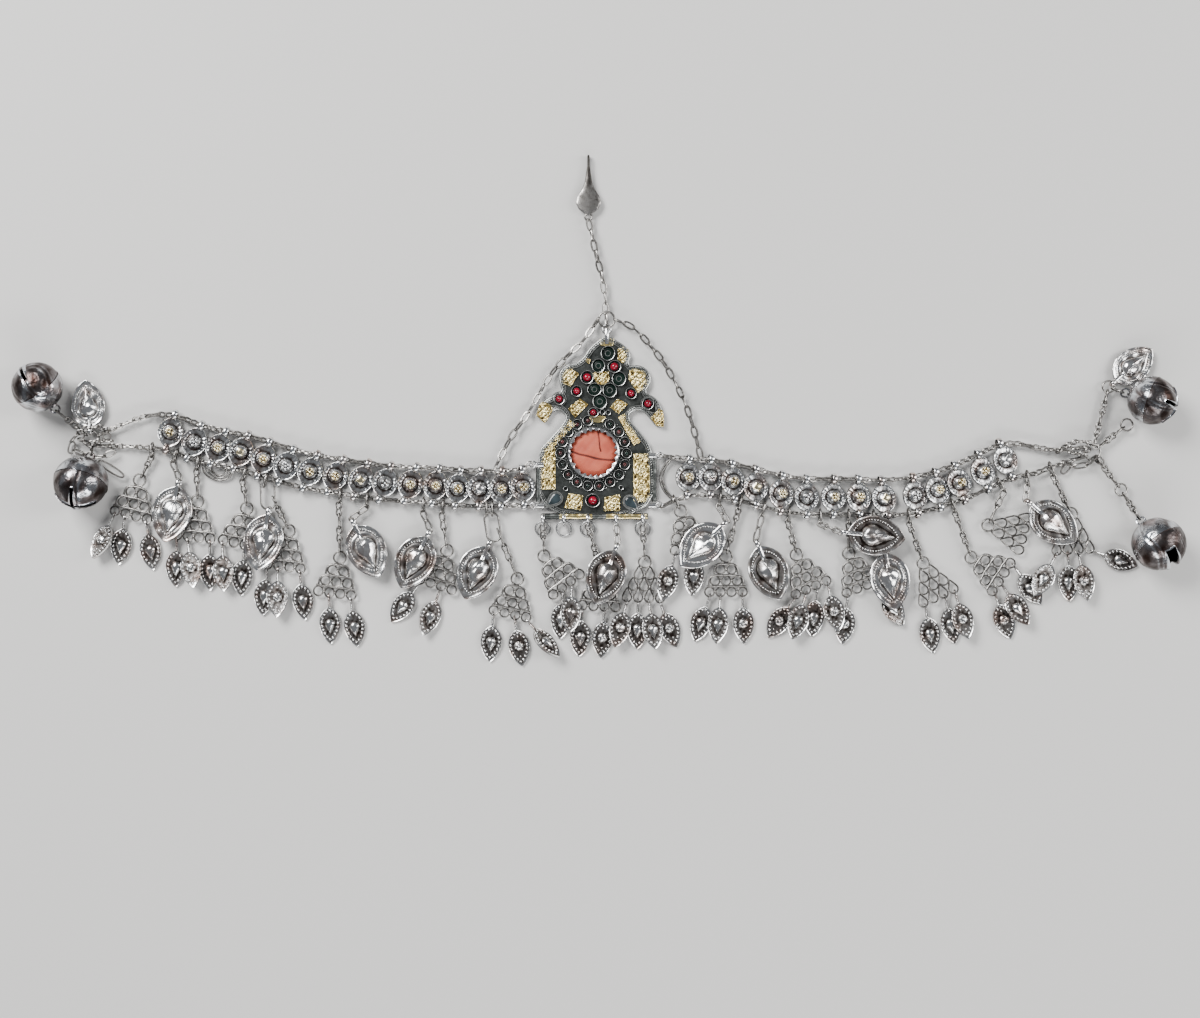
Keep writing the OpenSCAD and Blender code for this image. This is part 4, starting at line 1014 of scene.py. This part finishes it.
# The small leaves hang in the ladders' lowest rings. Each is a pointed leaf of sheet with a row of
# big pearls punched round its edge and a stem wrapped closely with wire. In its middle stands a
# smooth drop that points to the tip, or a dome with a ring of granules.
leaf_silver = metal("silver_leaf", (0.024, 0.018, 0.015), (0.25, 0.232, 0.22), (0.93, 0.93, 0.92),
                    0.5, 0.18, 420, 2200, (0.74, 0.62, 0.57))
small_leaves = {  # ladder, ring in its lowest row, heading, dip, roll
    "small_leaves_left": [
        (0, 0, -24, 8, -25), (0, 1, -8, -4, 0), (0, 3, 8, -4, 0),
        (1, 0, -2, -4, 0), (1, 1, 9, 8, 0), (1, 3, 0, -4, 0),
        (2, 0, 4, 8, 0), (2, 2, -4, -4, 0),
        (3, 0, -6, -4, 0), (3, 1, 0, 8, 0), (3, 3, 6, -4, 0),
        (4, 1, 2, -4, 0), (4, 3, 8, -4, 0)],
    "small_leaves_middle": [
        (5, 0, -36, -4, 0), (5, 2, -20, 4, 20),
        (6, 0, -4, -4, 0), (6, 2, 9, -4, 0), (6, 3, 42, 10, 50),
        (7, 1, -4, -4, 0), (7, 2, -2, 8, 0),
        (8, 0, -4, -4, 0), (8, 2, -4, -4, 0),
        (9, 0, -15, 8, 0), (9, 1, -1, -4, 0), (9, 2, 8, 8, 0), (9, 3, 20, -4, 0),
        (10, 0, -16, -4, 0), (10, 2, -6, -4, 0)],
    "small_leaves_right": [
        (11, 0, -18, -4, 0), (11, 1, -6, 8, 0), (11, 3, 2, -4, 0),
        (12, 0, -34, -4, 0), (12, 1, -18, 8, 0), (12, 2, -6, -4, 0), (12, 3, 12, 8, 0),
        (13, 0, -6, -4, 0), (13, 3, 30, 0, 10),
        (14, 0, 10, -4, 0), (14, 2, 12, -4, 0), (14, 3, 14, 8, 0),
        (15, 0, 20, -4, 0), (15, 1, 32, 8, 0), (15, 3, 36, -4, 0),
        (17, 0, -30, 8, 0), (17, 1, 2, -4, 0), (17, 2, 8, 8, 0), (17, 3, 72, -4, 0)]}
drop_w, drop_l = 7.4, 13.2
stem_top, stem_l = 0.75, 3.4
drop_middle = -(stem_top + stem_l + drop_l / 2 - 0.4)
coil_turns = 7
free_swing = 18


def small_leaf_face(seed, domed):
    """A flat leaf, a little bent and dented, under a cap or a drop z = h (1 - t^2)^0.6."""
    x, y, t, u = bossed_grid(drop_w, drop_l, 0.9, 0.7, 1.85, 1.9 if domed else 4.0, 60,
                             [0, 0.3, 0.55, 0.76, 0.9, 0.97, 1], [0.15, 0.45, 0.8, 0.93, 1, 1.0])
    boss = np.clip(1 - t ** 2, 0, 1) ** 0.6
    foot = hump(u, 0.08, 0.12) * (t > 0.95)
    rim = hump(u, 1, 0.07)
    top = (0.2 + (1.0 if domed else 1.25) * boss + 0.08 * dents(1.5 * x, y, seed) - 0.06 * foot + 0.16 * rim)
    top[-1] = -0.2
    # The crease at the boss's foot is painted darker, as shade; the boss and the rim are lighter.
    worn = 0.5 + 0.45 * boss + 0.28 * dents(2 * x, 2 * y, seed) + 0.65 * rim - 0.3 * foot
    return pressed_sheet(x, y, top, 0.4, worn)


angle = np.linspace(0, coil_turns * 2 * np.pi, coil_turns * 9)
coil = np.stack([0.36 * np.cos(angle), -stem_top - 0.2 - (stem_l - 0.2) * angle / angle[-1],
                 0.36 * np.sin(angle)], 1)
core = np.linspace((0, -stem_top + 0.3, 0), (0, -stem_top - stem_l - 0.6, 0), 4)
stem = joined([standing(1.1, 0.3, 20, 7), wire(coil, 0.24, 5, worn=0.9, up=(0, 1, 0)),
               wire(core, 0.3, 6, worn=0.2)])
pearls = edge_beads(drop_w, drop_l, 0.9, 0.85, 1.36, 0.52, 0.22)
granules = joined([beads(circle_path(1.15, 7, 0.95) + (0, 0.7, 0), 0.36, 7), beads([(0, 0.7, 1.2)], 0.44, 8),
                   beads([(0, 4.1, 0.3), (0, -2.9, 0.3)], 0.36, 7)])
for name, rows in small_leaves.items():
    parts = []
    for k, (ladder, ring, heading, dip, roll) in enumerate(rows):
        swing = heading - ladders[ladder][2]
        slip = math.copysign(max(abs(swing) - free_swing, 0), swing)
        whole = ladder_turns[ladder]
        hang = ring_at(ladder_rows - 1, ring) + turned(z=slip) @ (0, 0.4 - ring_r, 0)
        domed = (5 * k + ladder) % 3 == 0
        face = joined([small_leaf_face(3 * k + len(name), domed), pearls] + [granules] * domed)
        face = placed(moved(face, (0, drop_middle, 0)), turned(y=roll))
        parts.append(placed(joined([stem, face]), whole @ turned(z=slip) @ turned(x=-dip, z=swing - slip),
                            ladder_places[ladder] + whole @ hang))
    made_piece(name + "_set", joined(parts), leaf_silver, name)

# The big leaves are pointed ovals of thin sheet, pressed into a tall drop-shaped boss that points
# away from the bail. A row of tiny pearls follows the plain rim, and a flat strap soldered down
# the front is bent round into the bail. Wear has creased and dented the bosses.
leaves = [  # x and y of the bail, turn, dip, height, shine
    (-147, -10.5, -12, 4, 2.7, 0.1), (-115, -20.5, -10, 4, 2.9, 0.15), (-85, -24.5, 26, 4, 2.9, 0.1),
    (-58.5, -28.5, -26, 4, 2.9, -0.05), (-37, -32, -23, 4, 2.4, 0), (8, -33.3, -20, 4, 4, -0.15),
    (46.1, -25, -46, 4, 4, 0.3), (58, -32, 22, 4, 2.4, -0.15), (88.5, -28, 84, 3, 4.85, -0.2),
    (103, -34.2, 10, 4, 3.1, 0.2), (154, -17.5, 50, 4, 3.3, -0.05)]
leaf_w, leaf_l = 14.0, 20.5
leaf_middle = (0, -(1.1 + leaf_l / 2), 0)
boss_r, boss_tip, boss_y = 1.07 * 0.26 * leaf_w, 0.42 * leaf_l, 1.6


def big_leaf_face(seed, shine):
    """A boss z = h (1 - t^2.2)^0.6, creased along its axis and dented, on a leaf whose rim is a
    little raised; a fine groove follows the boss half way to the edge."""
    x, y, t, u = bossed_grid(leaf_w, leaf_l, 1.1, boss_y, boss_r, boss_tip, 110,
                             [0, 0.1, 0.2, 0.3, 0.4, 0.5, 0.6, 0.69, 0.78, 0.86, 0.92, 0.97, 1],
                             [0.06, 0.14, 0.25, 0.36, 0.42, 0.48, 0.6, 0.72, 0.84, 0.92, 0.97, 1, 1.0])
    boss = np.clip(1 - t ** 2.2, 0, 1) ** 0.6
    keel = 0.25 * hump(x, 0.6 * np.sin(0.5 * y + seed), 0.35) * boss
    facet = 0.35 * np.abs(dents(0.55 * x, 0.45 * y, 1.7 * seed)) * np.clip(2 * boss, 0, 1)
    foot = hump(u, 0.05, 0.08) * (t > 0.96)
    line = hump(u, 0.42, 0.05)
    ridge = hump(u, 0.93, 0.06)
    dent = dents(0.9 * x, 0.7 * y, seed)
    top = 0.05 + 2.35 * boss + keel - facet + 0.18 * ridge - 0.1 * line - 0.08 * foot + 0.12 * dent
    top[-1] = -0.4
    # The foot of the boss and the fine groove are painted darker, as shade; the boss, its keel and the rim
    # ridge are lighter, and shine makes the whole leaf lighter or darker.
    worn = 0.66 + shine + 0.25 * boss + 0.25 * ridge + 0.25 * dent + 0.5 * keel - 0.4 * foot - 0.22 * line
    return pressed_sheet(x, y, top, 0.4, worn)


tail_y = np.linspace(-1.2, -7.4, 14)
tail = np.stack([0 * tail_y, tail_y, np.interp(tail_y, [-7.4, -5, -1.6, -1.2], [0.9, 0.45, 0.9, 1.0])], 1)
fittings = joined([moved(edge_beads(leaf_w, leaf_l, 1.1, 1.5, 0.95, 0.35, 0.13), leaf_middle),
                   flat_bail(1.55, 1.5, 0.3), wire(tail, 0.7, flat=0.35, worn=0.95)])


def whole_leaf(seed, shine):
    """Face, beads and strap, with the ring's middle at the origin."""
    return joined([moved(big_leaf_face(seed, shine), leaf_middle), fittings])


for k, (x, y, turn, dip, z, shine) in enumerate(leaves):
    made_piece(f"big_leaf_{k + 1}_sheet",
               placed(whole_leaf(k + 1.0, shine), turned(z=turn) @ turned(x=-dip), (x, y, z)),
               leaf_silver, f"big_leaf_{k + 1}")
end_leaf_size = 0.85
for name, x, y, r, turn, seed in [("end_leaf_left", -178, 5, 2.8, -174, 20.0),
                                  ("end_leaf_right", 182.5, 23.5, 2.1, 131, 21.0)]:
    place = (x, y, chain_z) + turned(z=turn) @ (0, -r, 0)
    made_piece(name + "_sheet", placed(whole_leaf(seed, 0.2), end_leaf_size * turned(z=turn), place),
               leaf_silver, name)

# The bells at the ends are hollow balls of thin silver in two halves, soldered at a dark seam.
# The lower half has a slit with turned-up lips. Wear has creased and dented them and polished
# the upper halves, while the lower ones keep a brown patina.
bell_silver = metal("bell_silver", (0.03, 0.019, 0.016), (0.15, 0.135, 0.135), (0.7, 0.73, 0.77),
                    0.4, 0.16, 160, 330, (0.85, 0.7, 0.66), 0.0009)
bells = [  # x, y, radius, heading, width of the slit, crossed slits
    (-195, 23, 8.7, -57, 1.2, 0), (-179.5, -10.5, 9.4, 80, 1.2, 1),
    (196, 18.3, 8.5, 160, 1.2, 1), (198, -32, 9.3, 120, 3.6, 0)]
bell_sides, bell_wall = 120, 0.7
bell_lean = 118
upper_rows, lower_rows = 26, 30


def slit_outline(half_l, half_w, crossed):
    """Points in even steps round a slit with square ends, or round two slits that cross."""
    angle = around(2400) + 1e-4
    way = np.stack([np.cos(angle), np.sin(angle)], 1)
    cos, sin = np.abs(way).T
    far = np.minimum(half_l / cos, half_w / sin)
    if crossed:
        far = np.maximum(far, np.minimum(half_w / cos, half_l / sin))
    return spread(way * far[:, None], True, count=bell_sides)


def upper_half(size, rows):
    """Rows of a half ball, from the top pole down to the equator."""
    tall = np.linspace(np.pi / 2, 0, rows)
    return np.stack([circle_path(size * np.cos(a), bell_sides, size * np.sin(a)) for a in tall])


def lower_half(size, slit, rows, lip):
    """Rows from the equator in to the slit, on straight lines seen from below, at the depth
    sqrt(r^2 - x^2 - y^2); the last rows are raised into a lip."""
    mix = (1 - np.cos(np.linspace(0, np.pi / 2, rows)))[:, None, None]
    flat = (1 - mix) * circle_path(size, bell_sides)[:, :2] + mix * slit
    depth = np.sqrt(np.clip(size ** 2 - (flat ** 2).sum(-1, keepdims=True), 0, None))
    return np.concatenate([flat, -depth], -1) * (1 + lip / size * hump(mix, 1, 0.06))


def bell(radius, slit_w, crossed, seed):
    """One closed skin: from the top pole down the outside, in to the slit's edge, and back up the
    inside; then the seam, the loop and its cup."""
    slit = slit_outline(0.76 * radius, slit_w / 2, crossed)
    outside = np.concatenate([upper_half(radius, upper_rows), lower_half(radius, slit, lower_rows, 0.35)[1:]])
    inner_r = radius - bell_wall
    inside = np.concatenate([lower_half(inner_r, slit, 12, 0)[::-1], upper_half(inner_r, 8)[::-1][1:]])
    x, y, z = np.moveaxis(outside, -1, 0)
    dent = dents(0.3 * x, 0.3 * y + 0.25 * z, seed)
    crease = dents(0.16 * x + 0.1 * z, 0.2 * y, 3 * seed)
    outside = outside * (1 + 0.035 * np.minimum(dent, 0.05) - 0.02 * hump(crease, 0, 0.07))[..., None]
    x, y, z = np.moveaxis(outside, -1, 0)
    shade = 0.5 + 0.3 * dents(0.5 * x, 0.5 * y + 0.4 * z, seed + 2)
    shade[:upper_rows] += 0.25
    shade[upper_rows:] -= 0.12
    shade += 0.3 * (np.abs(crease) > 0.07) * hump(np.abs(crease), 0.14, 0.05)
    shade[-3:] = 1
    shade = np.concatenate([shade, np.full(inside.shape[:2], 0.1)])
    cup = lathe([(0, 0), (1.7, -0.2), (1.75, 0.1), (0.9, 0.45), (0, 0.5)], 20, 0.7)
    return joined([skin(np.concatenate([outside, inside]), shade), hoop(radius - 0.08, 0.16, 90, 6, worn=0.1),
                   moved(standing(1.5, 0.36), (0, 0, radius + 1.2)), moved(cup, (0, 0, radius - 0.1))])


for k, (x, y, r, heading, slit_w, crossed) in enumerate(bells):
    shape = placed(bell(r, slit_w, crossed, 1.7 * k + 1), turned(y=bell_lean, z=heading), (x, y, r))
    made_piece(f"bell_{k + 1}_body", shape, bell_silver, f"bell_{k + 1}", 40)
